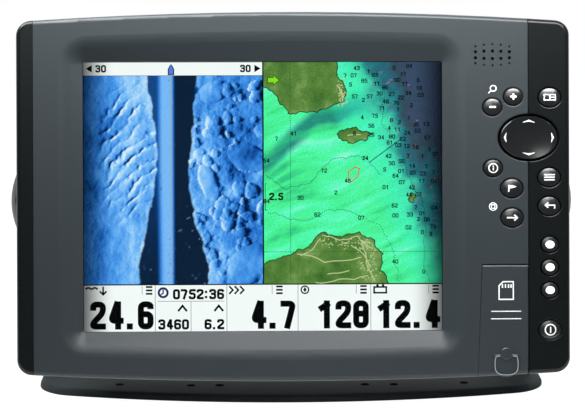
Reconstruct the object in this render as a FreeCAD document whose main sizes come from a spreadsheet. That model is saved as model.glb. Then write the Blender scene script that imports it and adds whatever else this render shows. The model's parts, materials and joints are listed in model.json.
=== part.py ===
import FreeCAD, Part
import math
import os
import re
import Sketcher
from FreeCAD import Placement, Rotation, Vector

# Fish finder on a gimbal bracket, millimetres, +Z up.
# Origin: on the underside of the bracket, straight below the tilt axis.
# The head's pieces are drawn in the head's own frame (x right, y back from the face, z up,
# origin at the middle of the face) and are then leaned back about the tilt axis.

DIMENSIONS = {
    # how the head hangs on its bracket
    "tilt_rest": 10,
    "pivot_height": 117.8,
    "pivot_back": 58,
    "pivot_drop": 2,
    # face of the head
    "face_half": 162.6,
    "face_top": 108.6,
    "top_radius": 2335,
    "bottom_radius": 2780,
    "corner_radius": 9,
    "seam_left": -152.5,
    "seam_right": 138,
    "seam_gap": 0.3,
    "bezel_depth": 30,
    "lip_radius": 2.9,
    # side covers and the tongues of the bezel under them
    "cover_skin": 3,
    "cover_wall": 2.4,
    "rim_wall": 3,
    "bezel_skin": 6.1,
    "key_room_right": 158.5,
    "screen_skin": 9.2,
    # screen
    "screen_x": -18.1,
    "screen_wide": 211.2,
    "screen_high": 158.4,
    "slope_left": -134,
    "slope_right": 96.5,
    "slope_top": 94,
    "slope_bottom": -93,
    "slope_corner": 13,
    "slope_depth": 5.5,
    "slope_crown": 2200,
    "shoulder_radius": 16,
    "window_wide": 217.6,
    "window_high": 164.8,
    "window_front": 7.1,
    "window_thick": 2,
    # keys: middles on the face and the sizes of their wells
    "zoom_in_x": 129.1,
    "zoom_in_z": 58.2,
    "zoom_out_x": 116.8,
    "zoom_out_z": 52.1,
    "info_x": 117.1,
    "info_z": 16.2,
    "mark_x": 128.2,
    "mark_z": 4.3,
    "goto_x": 128.3,
    "goto_z": -13,
    "view_x": 150.6,
    "view_z": 57.7,
    "menu_x": 150.2,
    "menu_z": 10.7,
    "exit_x": 150.2,
    "exit_z": -6.2,
    "preset_x": 150.4,
    "preset_z": -28.8,
    "preset_pitch": 13.4,
    "power_x": 150.5,
    "power_z": -78.9,
    "small_wide": 11.7,
    "small_high": 10.5,
    "large_wide": 13.8,
    "large_high": 11.6,
    "round_wide": 10.7,
    "round_high": 10,
    "key_gap": 0.55,
    "well_lip": 0.8,
    "key_proud": 1.5,
    "key_dome": 15,
    "key_flange": 0.9,
    "flange_front": 6.3,
    # cursor pad
    "pad_x": 138.1,
    "pad_z": 34.1,
    "pad_wide": 33.4,
    "pad_high": 25.2,
    "pad_well_wide": 36,
    "pad_well_high": 27.6,
    "pad_proud": 1.6,
    "pad_back": 6.5,
    "pad_lip": 0.7,
    "dish_radius": 95,
    "dish_deep": 1.1,
    # speaker grille
    "speaker_x": 117,
    "speaker_z": 82.8,
    "grille_pitch": 5,
    "grille_big": 1.9,
    "grille_small": 1.2,
    "speaker_radius": 13.6,
    # card door, its bay and its latch
    "door_top": -40.1,
    "door_left_top": 110.7,
    "door_left_bottom": 108,
    "door_thick": 3,
    "door_gap": 0.25,
    "hinge_drop": 2,
    "knuckle_radius": 1.7,
    "pin_radius": 0.75,
    "running_gap": 0.05,
    "ledge_depth": 3.6,
    "bay_left": 113,
    "bay_right": 134.5,
    "bay_top": -46,
    "bay_bottom": -101,
    "bay_depth": 14,
    "bay_wall": 2,
    "latch_x": 124.5,
    "latch_z": -92.8,
    "latch_disc": 3.5,
    "latch_half": 7.6,
    "latch_reach": 13.4,
    "latch_thick": 1.6,
    "latch_shaft": 2.5,
    "latch_lip": 0.45,
    "latch_rim": 1.4,
    "latch_hollow": 0.5,
    "cam_reach": 7.6,
    # card reader behind the bay
    "reader_left": 113.5,
    "reader_right": 130.5,
    "reader_top": -55,
    "reader_bottom": -80,
    "reader_back": 38,
    "card_slot": 2.6,
    # stack behind the screen, distances back from the face
    "panel_front": 10.2,
    "panel_thick": 3.2,
    "panel_wide": 223,
    "panel_high": 170,
    "tray_back": 20,
    "chassis_front": 21,
    "sheet_thick": 1.2,
    "board_front": 34,
    "board_thick": 1.6,
    "board_wide": 190,
    "board_high": 128,
    "sink_high": 11,
    # rear housing
    "gasket_thick": 1,
    "flange_thick": 3.4,
    "flange_half": 160.5,
    "housing_half": 137,
    "housing_rear_half": 124,
    "housing_back": 88,
    "housing_top": 93,
    "housing_bottom": -95,
    "housing_rear_top": 78,
    "housing_rear_bottom": -80,
    "housing_corner": 16,
    "housing_wall": 3,
    "rib_reach": 78,
    "rib_wide": 3,
    "rib_low": -18,
    "rib_high": 62,
    "rib_proud": 1.8,
    "label_left": 30,
    "label_right": 100,
    "label_low": -64,
    "label_high": -32,
    "label_deep": 0.6,
    "boss_radius": 23,
    "boss_face": 142.5,
    "insert_radius": 6,
    "insert_long": 17.8,
    # knobs and bracket
    "stud_radius": 4,
    "stud_gap": 0.06,
    "knob_radius": 22,
    "knob_dome": 44.4,
    "knob_apex": 172.3,
    "knob_scallop": 7,
    "knob_base": 152.9,
    "washer_thick": 1.2,
    "friction_thick": 1.7,
    "arm_inner": 144.4,
    "arm_outer": 151.5,
    "arm_foot_front": 11,
    "arm_foot_rear": 50,
    "arm_top_radius": 20,
    "plate_half": 157.8,
    "plate_thick": 4.2,
    "plate_front": -40,
    "plate_rear": 60,
    "plate_arc": 540,
    "plate_corner": 27,
    "plate_lip": 3.2,
    "hole_radius": 2.75,
    "hole_outer_x": 106.9,
    "hole_outer_y": -12,
    "hole_middle_x": 62.9,
    "hole_inner_x": 45.1,
    "hole_inner_y": -15,
    "hole_rear_y": 42,
    # connectors on the back
    "socket_x": -96,
    "socket_z": -50,
    "socket_pitch": 25,
    "socket_radius": 7,
}
SOCKETS = 5
RIBS = 13
KNOB_LOBES = 8

doc = FreeCAD.newDocument("fish_finder")
dims = doc.addObject("Spreadsheet::Sheet", "dims")
for row, (alias, number) in enumerate(DIMENSIONS.items(), start=1):
    dims.set(f"A{row}", alias)
    dims.set(f"B{row}", str(number))
    dims.setAlias(f"B{row}", alias)
doc.recompute()
sub_parts = {}


def full(expression):
    """The same expression with every dimension's name pointing into the sheet."""
    def point(match):
        word = match.group()
        return "dims." + word if word in DIMENSIONS else word
    return re.sub(r"[a-z][a-z_]*", point, str(expression))


def value(expression):
    return float(dims.evalExpression(full(expression)))


def bind(thing, **sizes):
    for name, expression in sizes.items():
        thing.setExpression(name, full(expression))


HEAD_TURN = Rotation(Vector(1, 0, 0), -value("tilt_rest"))
HEAD_PIVOT = Vector(0, value("pivot_back"), -value("pivot_drop"))
HEAD = Placement(Vector(0, 0, value("pivot_height")) - HEAD_TURN.multVec(HEAD_PIVOT), HEAD_TURN)
ROW = Placement()
ALONG_BACK = Rotation(Vector(1, 0, 0), -90)
ALONG_RIGHT = Rotation(Vector(0, 1, 0), 90)
ALONG_LEFT = Rotation(Vector(0, 1, 0), -90)


def keep(thing, label, frame=HEAD):
    """Give a finished sub-part its name and put it in its place."""
    thing.Label = label
    thing.Placement = frame.multiply(thing.Placement)
    sub_parts[label] = thing
    return thing


# ---------------------------------------------------------------- sketch tools

def new_body(name):
    return doc.addObject("PartDesign::Body", name)


def sketch_on(body, role, shift="0"):
    """A sketch on one of the body's origin planes, shifted along that plane's normal."""
    sketch = body.newObject("Sketcher::SketchObject", body.Name + "_sketch")
    plane = next(part for part in body.Origin.OriginFeatures if part.Role == role)
    sketch.AttachmentSupport = [(plane, "")]
    sketch.MapMode = "FlatFace"
    sketch.setExpression("AttachmentOffset.Base.z", full(shift))
    return sketch


def face_sketch(body, depth="0"):
    """A sketch parallel to the face, the given depth behind it."""
    return sketch_on(body, "XZ_Plane", f"-({depth})")


def size_to(sketch, kind, places, expression):
    """A sketch dimension that follows an expression."""
    index = sketch.addConstraint(Sketcher.Constraint(kind, *places, value(expression)))
    sketch.setExpression(f"Constraints[{index}]", full(expression))


def place_point(sketch, geometry, point, x, z):
    size_to(sketch, "DistanceX", (-1, 1, geometry, point), x)
    size_to(sketch, "DistanceY", (-1, 1, geometry, point), z)


def hole(sketch, x, z, radius):
    circle = Part.Circle(Vector(value(x), value(z), 0), Vector(0, 0, 1), value(radius))
    index = sketch.addGeometry(circle)
    place_point(sketch, index, 3, x, z)
    size_to(sketch, "Radius", (index,), radius)


def oval(sketch, x, z, wide, high):
    """A level ellipse with its middle and both its widths bound."""
    ellipse = Part.Ellipse(Vector(value(x), value(z), 0), value(wide) / 2, value(high) / 2)
    index = sketch.addGeometry(ellipse)
    sketch.exposeInternalGeometry(index)
    sketch.addConstraint(Sketcher.Constraint("Horizontal", index + 1))
    place_point(sketch, index, 3, x, z)
    size_to(sketch, "Distance", (index + 1,), wide)
    size_to(sketch, "Distance", (index + 2,), high)


def polygon(sketch, points):
    """A closed outline of straight lines through points given as pairs of expressions."""
    places = [Vector(value(x), value(z), 0) for x, z in points]
    first = sketch.GeometryCount
    for index, place in enumerate(places):
        following = places[(index + 1) % len(places)]
        sketch.addGeometry(Part.LineSegment(place, following))
    for index, (x, z) in enumerate(points):
        line = first + index
        after = first + (index + 1) % len(points)
        sketch.addConstraint(Sketcher.Constraint("Coincident", line, 2, after, 1))
        place_point(sketch, line, 1, x, z)


QUARTER_TURN = math.pi / 2


def corner_points(side, edge, inward, radius):
    """Middle of a corner's arc, and where it touches its level or crowned side and its upright."""
    x = value(edge) + inward * radius
    upward = 1 if side[-1] == "low" else -1
    if side[0] == "level":
        height = value(side[1])
        middle = Vector(x, height + upward * radius, 0)
        return middle, Vector(x, height, 0), Vector(value(edge), middle.y, 0)
    bend = value(side[2])
    centre = Vector(0, value(side[1]) + upward * bend, 0)
    middle = Vector(x, centre.y - upward * math.sqrt((bend - radius) ** 2 - x ** 2), 0)
    touch = centre + (middle - centre) * (bend / (bend - radius))
    return middle, touch, Vector(value(edge), middle.y, 0)


def frame_outline(sketch, left, right, bottom, top, corners="0"):
    """Upright sides at left and right, level or crowned sides below and above.

    bottom and top are ("level", height) or ("crown", apex, radius), where a crown bulges out.
    corners is one radius, or four in the order low right, high right, high left, low left;
    a corner is a tangent arc, or sharp where its radius is "0".
    """
    corners = [corners] * 4 if isinstance(corners, str) else corners
    low, high = (*bottom, "low"), (*top, "high")
    turns = [corner_points(side, edge, inward, value(corner))
             for (side, edge, inward), corner in zip(
                 ((low, right, -1), (high, right, -1), (high, left, 1), (low, left, 1)), corners)]
    low_right, high_right, high_left, low_left = turns
    sides = [(low, low_left[1], low_right[1]), (None, low_right[2], high_right[2]),
             (high, high_right[1], high_left[1]), (None, high_left[2], low_left[2])]
    first = sketch.GeometryCount
    for side, start, end in sides:
        if side is None or side[0] == "level":
            sketch.addGeometry(Part.LineSegment(start, end))
        else:
            bend = value(side[2])
            upward = 1 if side[-1] == "low" else -1
            circle = Part.Circle(Vector(0, value(side[1]) + upward * bend, 0), Vector(0, 0, 1), bend)
            add_arc(sketch, circle, start, end)
    for index, edge in ((1, right), (3, left)):
        sketch.addConstraint(Sketcher.Constraint("Vertical", first + index))
        size_to(sketch, "DistanceX", (-1, 1, first + index, 1), edge)
    for index, side in ((0, low), (2, high)):
        if side[0] == "level":
            sketch.addConstraint(Sketcher.Constraint("Horizontal", first + index))
            size_to(sketch, "DistanceY", (-1, 1, first + index, 1), side[1])
        else:
            sign = "+" if side[-1] == "low" else "-"
            size_to(sketch, "Radius", (first + index,), side[2])
            place_point(sketch, first + index, 3, "0", f"({side[1]}) {sign} ({side[2]})")
    for index, (middle, on_side, on_upright) in enumerate(turns):
        after = first + (index + 1) % 4
        if value(corners[index]) == 0:
            sketch.addConstraint(Sketcher.Constraint("Coincident", first + index, 2, after, 1))
            continue
        circle = Part.Circle(middle, Vector(0, 0, 1), value(corners[index]))
        start, end = (on_side, on_upright) if index % 2 == 0 else (on_upright, on_side)
        arc = add_arc(sketch, circle, start, end)
        sketch.addConstraint(Sketcher.Constraint("Tangent", first + index, 2, arc, 1))
        sketch.addConstraint(Sketcher.Constraint("Tangent", arc, 2, after, 1))
        size_to(sketch, "Radius", (arc,), corners[index])


def add_arc(sketch, circle, start, end):
    """An anticlockwise arc of a circle from start to end."""
    angles = [math.atan2(point.y - circle.Center.y, point.x - circle.Center.x) for point in (start, end)]
    return sketch.addGeometry(Part.ArcOfCircle(circle, angles[0], angles[1]))


def crowned(inset="0"):
    """Bottom and top sides of the face's outline, moved in by inset."""
    return (("crown", f"-(face_top) + {inset}", f"bottom_radius - {inset}"),
            ("crown", f"face_top - {inset}", f"top_radius - {inset}"))


# -------------------------------------------------------------- feature tools

def grow(body, sketch, length, backwards=True):
    pad = body.newObject("PartDesign::Pad", body.Name + "_pad")
    pad.Profile = sketch
    pad.Reversed = backwards
    bind(pad, Length=length)
    doc.recompute()
    return pad


def sink(body, sketch, length, backwards=True):
    """Pocket, checked to take material away."""
    before = body.Shape.Volume
    pocket = body.newObject("PartDesign::Pocket", body.Name + "_pocket")
    pocket.Profile = sketch
    pocket.Reversed = not backwards
    bind(pocket, Length=length)
    doc.recompute()
    if not body.Shape.Volume < before - 0.01:
        raise RuntimeError(f"{pocket.Name} cuts nothing")
    return pocket


def loft_between(body, kind, sketches):
    loft = body.newObject(kind, body.Name + "_loft")
    loft.Profile = sketches[0]
    loft.Sections = sketches[1:]
    loft.Ruled = True
    doc.recompute()
    return loft


def round_edges(body, radius, wanted):
    """Fillet the edges of the body's last feature that wanted(edge) picks."""
    last = body.Tip
    names = [f"Edge{index + 1}" for index, edge in enumerate(last.Shape.Edges) if wanted(edge)]
    fillet = body.newObject("PartDesign::Fillet", body.Name + "_fillet")
    fillet.Base = (last, names)
    bind(fillet, Radius=radius)
    doc.recompute()
    return fillet


def is_level(edge, depth):
    """True for an edge that lies at one depth behind the face."""
    box = edge.BoundBox
    return abs(box.YMin - depth) < 0.001 and abs(box.YMax - depth) < 0.001


def on_face_plane(edge):
    return is_level(edge, 0)


def on_well_rim(edge):
    """True for the front edge of a key's oval well, and for the pad well's two halves."""
    box = edge.BoundBox
    return on_face_plane(edge) and 8 < box.ZLength < 30 and 8 < box.XLength < 40


def block(name, corner, lengths):
    """A box from expressions for its lowest corner and its three lengths."""
    box = doc.addObject("Part::Box", name)
    bind(box, Length=lengths[0], Width=lengths[1], Height=lengths[2])
    box.Placement.Base = Vector(*[value(place) for place in corner])
    return box


def rod(name, radius, length, start, turn=Rotation()):
    """A cylinder from its start point along the turned z axis."""
    cylinder = doc.addObject("Part::Cylinder", name)
    bind(cylinder, Radius=radius, Height=length)
    cylinder.Placement = Placement(Vector(*[value(place) for place in start]), turn)
    return cylinder


def without(name, base, tools):
    cut = doc.addObject("Part::Cut", name)
    cut.Base = base
    cut.Tool = tools[0] if len(tools) == 1 else joined(name + "_tools", tools)
    return cut


def joined(name, shapes):
    fuse = doc.addObject("Part::MultiFuse", name)
    fuse.Shapes = shapes
    return fuse


def group(name, shapes):
    """Separate solids that share one node."""
    compound = doc.addObject("Part::Compound", name)
    compound.Links = shapes
    return compound


# --------------------------------------------------------------------- keys

PRESETS = {f"preset_{number + 1}": ("preset_x", f"preset_z - {number} * preset_pitch")
           for number in range(3)}
SMALL_KEYS = {name: (f"{name}_x", f"{name}_z") for name in ("zoom_in", "zoom_out", "info")}
LARGE_KEYS = {name: (f"{name}_x", f"{name}_z")
              for name in ("mark", "goto", "view", "menu", "exit", "power")}
KEY_SIZES = {name: (place, "small") for name, place in SMALL_KEYS.items()}
KEY_SIZES.update({name: (place, "large") for name, place in LARGE_KEYS.items()})
KEY_SIZES.update({name: (place, "round") for name, place in PRESETS.items()})


def key_wells(sketch, lowest_x="0"):
    """Ovals of all wells whose middle is right of lowest_x, and of the cursor pad's well."""
    for (x, z), style in KEY_SIZES.values():
        if value(x) > value(lowest_x):
            oval(sketch, x, z, f"{style}_wide", f"{style}_high")
    oval(sketch, "pad_x", "pad_z", "pad_well_wide", "pad_well_high")


def ellipse_rod(name, wide, high, front, back):
    """A straight oval bar from front to back, in the key's own frame."""
    outline = doc.addObject("Part::Ellipse", name + "_outline")
    bind(outline, MajorRadius=f"({wide}) / 2", MinorRadius=f"({high}) / 2")
    outline.Placement.Base.z = value(front)
    bar = doc.addObject("Part::Extrusion", name)
    bar.Base = outline
    bar.Dir = Vector(0, 0, 1)
    bar.Solid = True
    bind(bar, LengthFwd=f"({back}) - ({front})")
    return bar


def key_cap(name, place, style):
    """Moulded key: an oval stem with a domed top and a flange that keeps it behind the skin."""
    stem = ellipse_rod(name + "_stem", f"{style}_wide - 2 * key_gap", f"{style}_high - 2 * key_gap",
                       "-key_proud", "flange_front")
    dome = doc.addObject("Part::Sphere", name + "_dome")
    bind(dome, Radius="key_dome")
    dome.Placement.Base.z = value("key_dome - key_proud")
    top = doc.addObject("Part::Common", name + "_top")
    top.Base = stem
    top.Tool = dome
    flange = ellipse_rod(name + "_flange", f"{style}_wide + 0.8", f"{style}_high + 0.8",
                         "flange_front", "flange_front + key_flange")
    cap = joined(name + "_cap", [top, flange])
    cap.Placement = Placement(Vector(value(place[0]), 0, value(place[1])), ALONG_BACK)
    keep(cap, f"{name}_key")


def cursor_pad():
    """Oval rocker with a dished top, standing on a small post."""
    body = new_body("pad_block")
    outline = face_sketch(body, "-pad_proud")
    oval(outline, "pad_x", "pad_z", "pad_wide", "pad_high")
    grow(body, outline, "pad_proud + pad_back")
    round_edges(body, "pad_lip", lambda edge: is_level(edge, value("-pad_proud")))
    dish = doc.addObject("Part::Sphere", "pad_dish")
    bind(dish, Radius="dish_radius")
    dish.Placement.Base = Vector(value("pad_x"), value("dish_deep - dish_radius - pad_proud"), value("pad_z"))
    keep(without("pad", body, [dish]), "cursor_pad")
    post = rod("pad_post", "3", "1.6", ("pad_x", "pad_back + 0.25", "pad_z"), ALONG_BACK)
    keep(post, "cursor_pad_post")


# ------------------------------------------------------------------- bezel

SCREW_PLACES = [(x, z) for x in ("-151", "151") for z in ("-95", "95")]
SCREW_PLACES += [(x, z) for x in ("-60", "60") for z in ("-100.4", "100.4")]
CHASSIS_PLACES = [(f"screen_x {side} 116", z) for side in "-+" for z in ("-90", "90")]
KEY_BOARD_PLACES = [("110", "33"), ("110", "-30"), ("149.5", "76"), ("149.5", "-67")]


def window_rectangle(sketch, wide, high, corner):
    frame_outline(sketch, f"screen_x - ({wide}) / 2", f"screen_x + ({wide}) / 2",
                  ("level", f"-({high}) / 2"), ("level", f"({high}) / 2"), corner)


def grille_holes(sketch):
    """Five columns of four holes; the rows bow out in the middle like an oval."""
    for column in range(-2, 3):
        x = f"speaker_x + {column} * grille_pitch"
        squeeze = 1 - 0.048 * column ** 2
        for row, radius in ((6.2, "grille_small / 2"), (2.2, "grille_big / 2")):
            hole(sketch, x, f"speaker_z + {row * squeeze:.3f}", radius)
            hole(sketch, x, f"speaker_z - {row * squeeze:.3f}", radius)


def front_bezel():
    """Moulded bezel: crowned face, sloped screen recess, tongues under the side covers."""
    body = new_body("bezel")
    face = face_sketch(body)
    frame_outline(face, "seam_left", "seam_right - seam_gap", *crowned())
    grow(body, face, "bezel_depth")
    round_edges(body, "lip_radius", lambda edge: on_face_plane(edge) and edge.BoundBox.XLength > 100)
    tongues = face_sketch(body, "cover_skin + seam_gap")
    inset = "(cover_wall + seam_gap)"
    frame_outline(tongues, f"-face_half + {inset}", f"face_half - {inset}", *crowned(inset), "6.5")
    grow(body, tongues, "bezel_depth - cover_skin - seam_gap")
    cavity = face_sketch(body, "bezel_depth")
    wall = "(cover_wall + seam_gap + rim_wall)"
    frame_outline(cavity, f"-face_half + {wall}", f"face_half - {wall}", *crowned(wall), "4")
    sink(body, cavity, "bezel_depth - screen_skin", False)
    for left, low, high in (("102.4", "-39", "100"), ("141", "-99", "-30")):
        room = face_sketch(body, "bezel_depth")
        frame_outline(room, left, "key_room_right", ("level", low), ("level", high), "2")
        sink(body, room, "bezel_depth - bezel_skin", False)
    screen_opening(body)
    bosses(body)
    card_opening(body)
    wells = face_sketch(body)
    key_wells(wells)
    sink(body, wells, "screen_skin + 1")
    round_edges(body, "well_lip", on_well_rim)
    grille = face_sketch(body)
    grille_holes(grille)
    sink(body, grille, "screen_skin + 1")
    keep(body, "front_bezel")


def screen_opening(body):
    """Sloped recess down to the window, the opening, and the seat of the window behind it."""
    outer = face_sketch(body, "-0.01")
    frame_outline(outer, "slope_left", "slope_right", ("crown", "slope_bottom", "slope_crown"),
                  ("crown", "slope_top", "slope_crown"), "slope_corner")
    inner = face_sketch(body, "slope_depth")
    window_rectangle(inner, "screen_wide + 0.8", "screen_high + 0.8", "1.5")
    loft_between(body, "PartDesign::SubtractiveLoft", [outer, inner])
    left, right = value("slope_left") - 1, value("slope_right") + 1
    round_edges(body, "shoulder_radius", lambda edge: on_face_plane(edge)
                and edge.BoundBox.XMin > left and edge.BoundBox.XMax < right)
    opening = face_sketch(body)
    window_rectangle(opening, "screen_wide + 0.8", "screen_high + 0.8", "1.5")
    sink(body, opening, "screen_skin + 1")
    seat = face_sketch(body, "screen_skin + 0.1")
    window_rectangle(seat, "window_wide + 0.4", "window_high + 0.4", "2")
    sink(body, seat, "screen_skin + 0.1 - window_front + 0.05", False)


def bosses(body):
    """Screw bosses for the rear housing, the display chassis and the key board."""
    for places, radius, end, bore in ((SCREW_PLACES, "4", "bezel_depth", "1.45"),
                                      (CHASSIS_PLACES, "3.4", "20.9", "1.25"),
                                      (KEY_BOARD_PLACES, "2.5", "11.1", "1.05")):
        posts = face_sketch(body, "bezel_skin - 0.5")
        holes = face_sketch(body, end)
        for x, z in places:
            hole(posts, x, z, radius)
            hole(holes, x, z, bore)
        grow(body, posts, f"{end} - bezel_skin + 0.5")
        sink(body, holes, "4.2" if radius == "2.5" else "9", False)


def card_opening(body):
    """Rebate for the door, the hole that the card bay fills, and the hinge pin's bore."""
    opening = face_sketch(body)
    polygon(opening, [("door_left_bottom - door_gap", "-face_top - 1"), ("seam_right + 1", "-face_top - 1"),
                      ("seam_right + 1", "door_top"), ("door_left_top - door_gap", "door_top")])
    sink(body, opening, "ledge_depth")
    hole_for_bay = face_sketch(body)
    frame_outline(hole_for_bay, "bay_left - bay_wall - 0.1", "bay_right + bay_wall + 0.1",
                  ("level", "bay_bottom - bay_wall - 0.1"), ("level", "bay_top + bay_wall + 0.1"), "1.1")
    sink(body, hole_for_bay, "bay_depth + bay_wall + 0.2")
    pin_hole = sketch_on(body, "YZ_Plane", "door_left_bottom - 3")
    hole(pin_hole, "knuckle_radius", "door_top - hinge_drop", "pin_radius")
    sink(body, pin_hole, "6", False)


# -------------------------------------------------------- covers and card door

def side_cover(name, left, right, corners, wells_right_of=None):
    """Gloss cover of one side: a skin with outer, top and bottom walls, open at its back."""
    body = new_body(name)
    outline = face_sketch(body)
    frame_outline(outline, left, right, *crowned(), corners)
    grow(body, outline, "bezel_depth")
    seam = min(value(left), value(right), key=abs)
    round_edges(body, "lip_radius", lambda edge: on_face_plane(edge)
                and abs(edge.BoundBox.XMin + edge.BoundBox.XMax - 2 * seam) > 0.01)
    inner = [f"({corner}) - cover_wall" if corner != "0" else "0" for corner in corners]
    room = face_sketch(body, "bezel_depth")
    inner_left = f"({left}) + cover_wall" if seam > value(left) else left
    inner_right = f"({right}) - cover_wall" if seam < value(right) else right
    frame_outline(room, inner_left, inner_right, *crowned("cover_wall"), inner)
    sink(body, room, "bezel_depth - cover_skin", False)
    if wells_right_of:
        wells = face_sketch(body)
        key_wells(wells, wells_right_of)
        sink(body, wells, "cover_skin + 1")
        round_edges(body, "well_lip", on_well_rim)
        pin_hole = sketch_on(body, "YZ_Plane", "seam_right")
        hole(pin_hole, "knuckle_radius", "door_top - hinge_drop", "pin_radius")
        sink(body, pin_hole, "2.6", False)
    return body


def side_covers():
    keep(side_cover("left_cover", "-face_half", "seam_left - seam_gap",
                    ("0", "0", "corner_radius", "corner_radius")), "left_side_cover")
    keep(side_cover("right_cover", "seam_right + seam_gap", "face_half",
                    ("corner_radius", "corner_radius", "0", "0"), "140"), "right_side_cover")


def card_bay():
    """Moulded pocket behind the card door, with the card reader's mouth in its floor."""
    body = new_body("bay")
    box = face_sketch(body, "ledge_depth")
    frame_outline(box, "bay_left - bay_wall", "bay_right + bay_wall",
                  ("level", "bay_bottom - bay_wall"), ("level", "bay_top + bay_wall"), "1")
    grow(body, box, "bay_depth + bay_wall - ledge_depth")
    room = face_sketch(body, "ledge_depth")
    frame_outline(room, "bay_left", "bay_right", ("level", "bay_bottom"), ("level", "bay_top"), "1.5")
    sink(body, room, "bay_depth - ledge_depth")
    mouth = face_sketch(body, "ledge_depth")
    frame_outline(mouth, "reader_left - 0.2", "reader_right + 0.2",
                  ("level", "reader_bottom - 0.2"), ("level", "reader_top + 0.2"), "0.5")
    sink(body, mouth, "bay_depth + bay_wall")
    keep(body, "card_bay")


def card_door():
    """Flat door that continues the bezel's face and lip, with a round knuckle along its top."""
    body = new_body("door")
    face = face_sketch(body)
    hinge = "(door_top - hinge_drop)"
    polygon(face, [("door_left_bottom", "-106.45"), ("seam_right - 2 * seam_gap", "-105.17"),
                   ("seam_right - 2 * seam_gap", hinge), ("door_left_top", hinge)])
    grow(body, face, "door_thick")
    round_edges(body, "lip_radius", lambda edge: on_face_plane(edge) and edge.BoundBox.ZMax < -100)
    knuckle = sketch_on(body, "YZ_Plane", "door_left_top + 0.1")
    hole(knuckle, "knuckle_radius", hinge, "knuckle_radius")
    grow(body, knuckle, "seam_right - 2 * seam_gap - door_left_top - 0.1", False)
    bore = sketch_on(body, "YZ_Plane", "door_left_top - 1")
    hole(bore, "knuckle_radius", hinge, "pin_radius + running_gap")
    sink(body, bore, "40", False)
    latch_hole = face_sketch(body)
    hole(latch_hole, "latch_x", "latch_z", "latch_shaft + running_gap")
    sink(body, latch_hole, "door_thick + 1")
    keep(body, "card_door")
    pin = rod("pin", "pin_radius", "seam_right + 2.4 - door_left_bottom + 2.8",
              ("door_left_bottom - 2.8", "knuckle_radius", hinge), ALONG_RIGHT)
    keep(pin, "door_hinge_pin")


def door_latch():
    """Quarter-turn latch: a U-shaped tab, a disc proud of it, and a shaft with a cam behind the door."""
    body = new_body("latch")
    tab = face_sketch(body, "-(latch_thick - 0.3)")
    frame_outline(tab, "latch_x - latch_half", "latch_x + latch_half",
                  ("level", "latch_z - latch_reach"), ("level", "latch_z - 0.6"),
                  ("6.6", "1.6", "1.6", "6.6"))
    grow(body, tab, "latch_thick - 0.5")
    round_edges(body, "latch_lip", lambda edge: is_level(edge, value("0.3 - latch_thick")))
    hollow = face_sketch(body, "-(latch_thick - 0.3)")
    frame_outline(hollow, "latch_x - latch_half + latch_rim", "latch_x + latch_half - latch_rim",
                  ("level", "latch_z - latch_reach + latch_rim"), ("level", "latch_z - 0.6 - latch_rim"),
                  ("5.2", "0.8", "0.8", "5.2"))
    sink(body, hollow, "latch_hollow")
    disc = face_sketch(body, "-(latch_thick + 0.2)")
    hole(disc, "latch_x", "latch_z", "latch_disc")
    grow(body, disc, "latch_thick")
    round_edges(body, "latch_lip", lambda edge: is_level(edge, value("-latch_thick - 0.2")))
    shaft = face_sketch(body, "-0.5")
    hole(shaft, "latch_x", "latch_z", "latch_shaft")
    grow(body, shaft, "door_thick + 3.8")
    cam = face_sketch(body, "door_thick + 1.6")
    frame_outline(cam, "latch_x - 2.4", "latch_x + 2.4", ("level", "latch_z - cam_reach"),
                  ("level", "latch_z + 2.4"), "2.2")
    grow(body, cam, "1.7")
    keep(body, "door_latch")


def door_seal():
    """Soft ring round the bay's mouth, on the ledge behind the door."""
    ring = new_body("bay_seal")
    outline = face_sketch(ring, "door_thick + 0.1")
    frame_outline(outline, "bay_left - 1.8", "bay_right + 1.8",
                  ("level", "bay_bottom - 1.8"), ("level", "bay_top + 1.5"), "2.2")
    frame_outline(outline, "bay_left - 0.4", "bay_right + 0.4",
                  ("level", "bay_bottom - 0.4"), ("level", "bay_top + 0.4"), "1.5")
    grow(ring, outline, "ledge_depth - door_thick - 0.1")
    keep(ring, "door_seal")


# -------------------------------------------------------------- display stack

def slab(name, label, front, thick, wide, high, corner="0.6"):
    """A plate behind the screen, centred on it."""
    body = new_body(name)
    outline = face_sketch(body, front)
    window_rectangle(outline, wide, high, corner)
    grow(body, outline, thick)
    keep(body, label)
    return body


def display_stack():
    """Window, its seal, liquid crystal panel, light guide, tray and the chassis behind them."""
    slab("window", "display_window", "window_front", "window_thick", "window_wide", "window_high", "2")
    seal = new_body("screen_seal")
    ring = face_sketch(seal, "window_front + window_thick")
    window_rectangle(ring, "window_wide", "window_high", "2")
    window_rectangle(ring, "screen_wide + 2", "screen_high + 2", "1")
    grow(seal, ring, "panel_front - window_front - window_thick")
    keep(seal, "display_gasket")
    slab("panel", "lcd_panel", "panel_front", "panel_thick", "panel_wide", "panel_high")
    slab("guide", "light_guide", "panel_front + panel_thick + 0.1", "4", "216", "163")
    tray = new_body("tray")
    outside = face_sketch(tray, "panel_front")
    window_rectangle(outside, "226.4", "173.4", "1.5")
    grow(tray, outside, "tray_back - panel_front")
    seat = face_sketch(tray, "panel_front")
    window_rectangle(seat, "panel_wide + 0.3", "panel_high + 0.3", "0.6")
    sink(tray, seat, "panel_thick + 0.05")
    well = face_sketch(tray, "panel_front")
    window_rectangle(well, "216.4", "163.4", "0.6")
    sink(tray, well, "panel_thick + 4.3")
    keep(tray, "backlight_tray")
    chassis()


BOARD_POSTS = [(f"screen_x {side} 88", z) for side in "-+" for z in ("-57", "57")]


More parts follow.
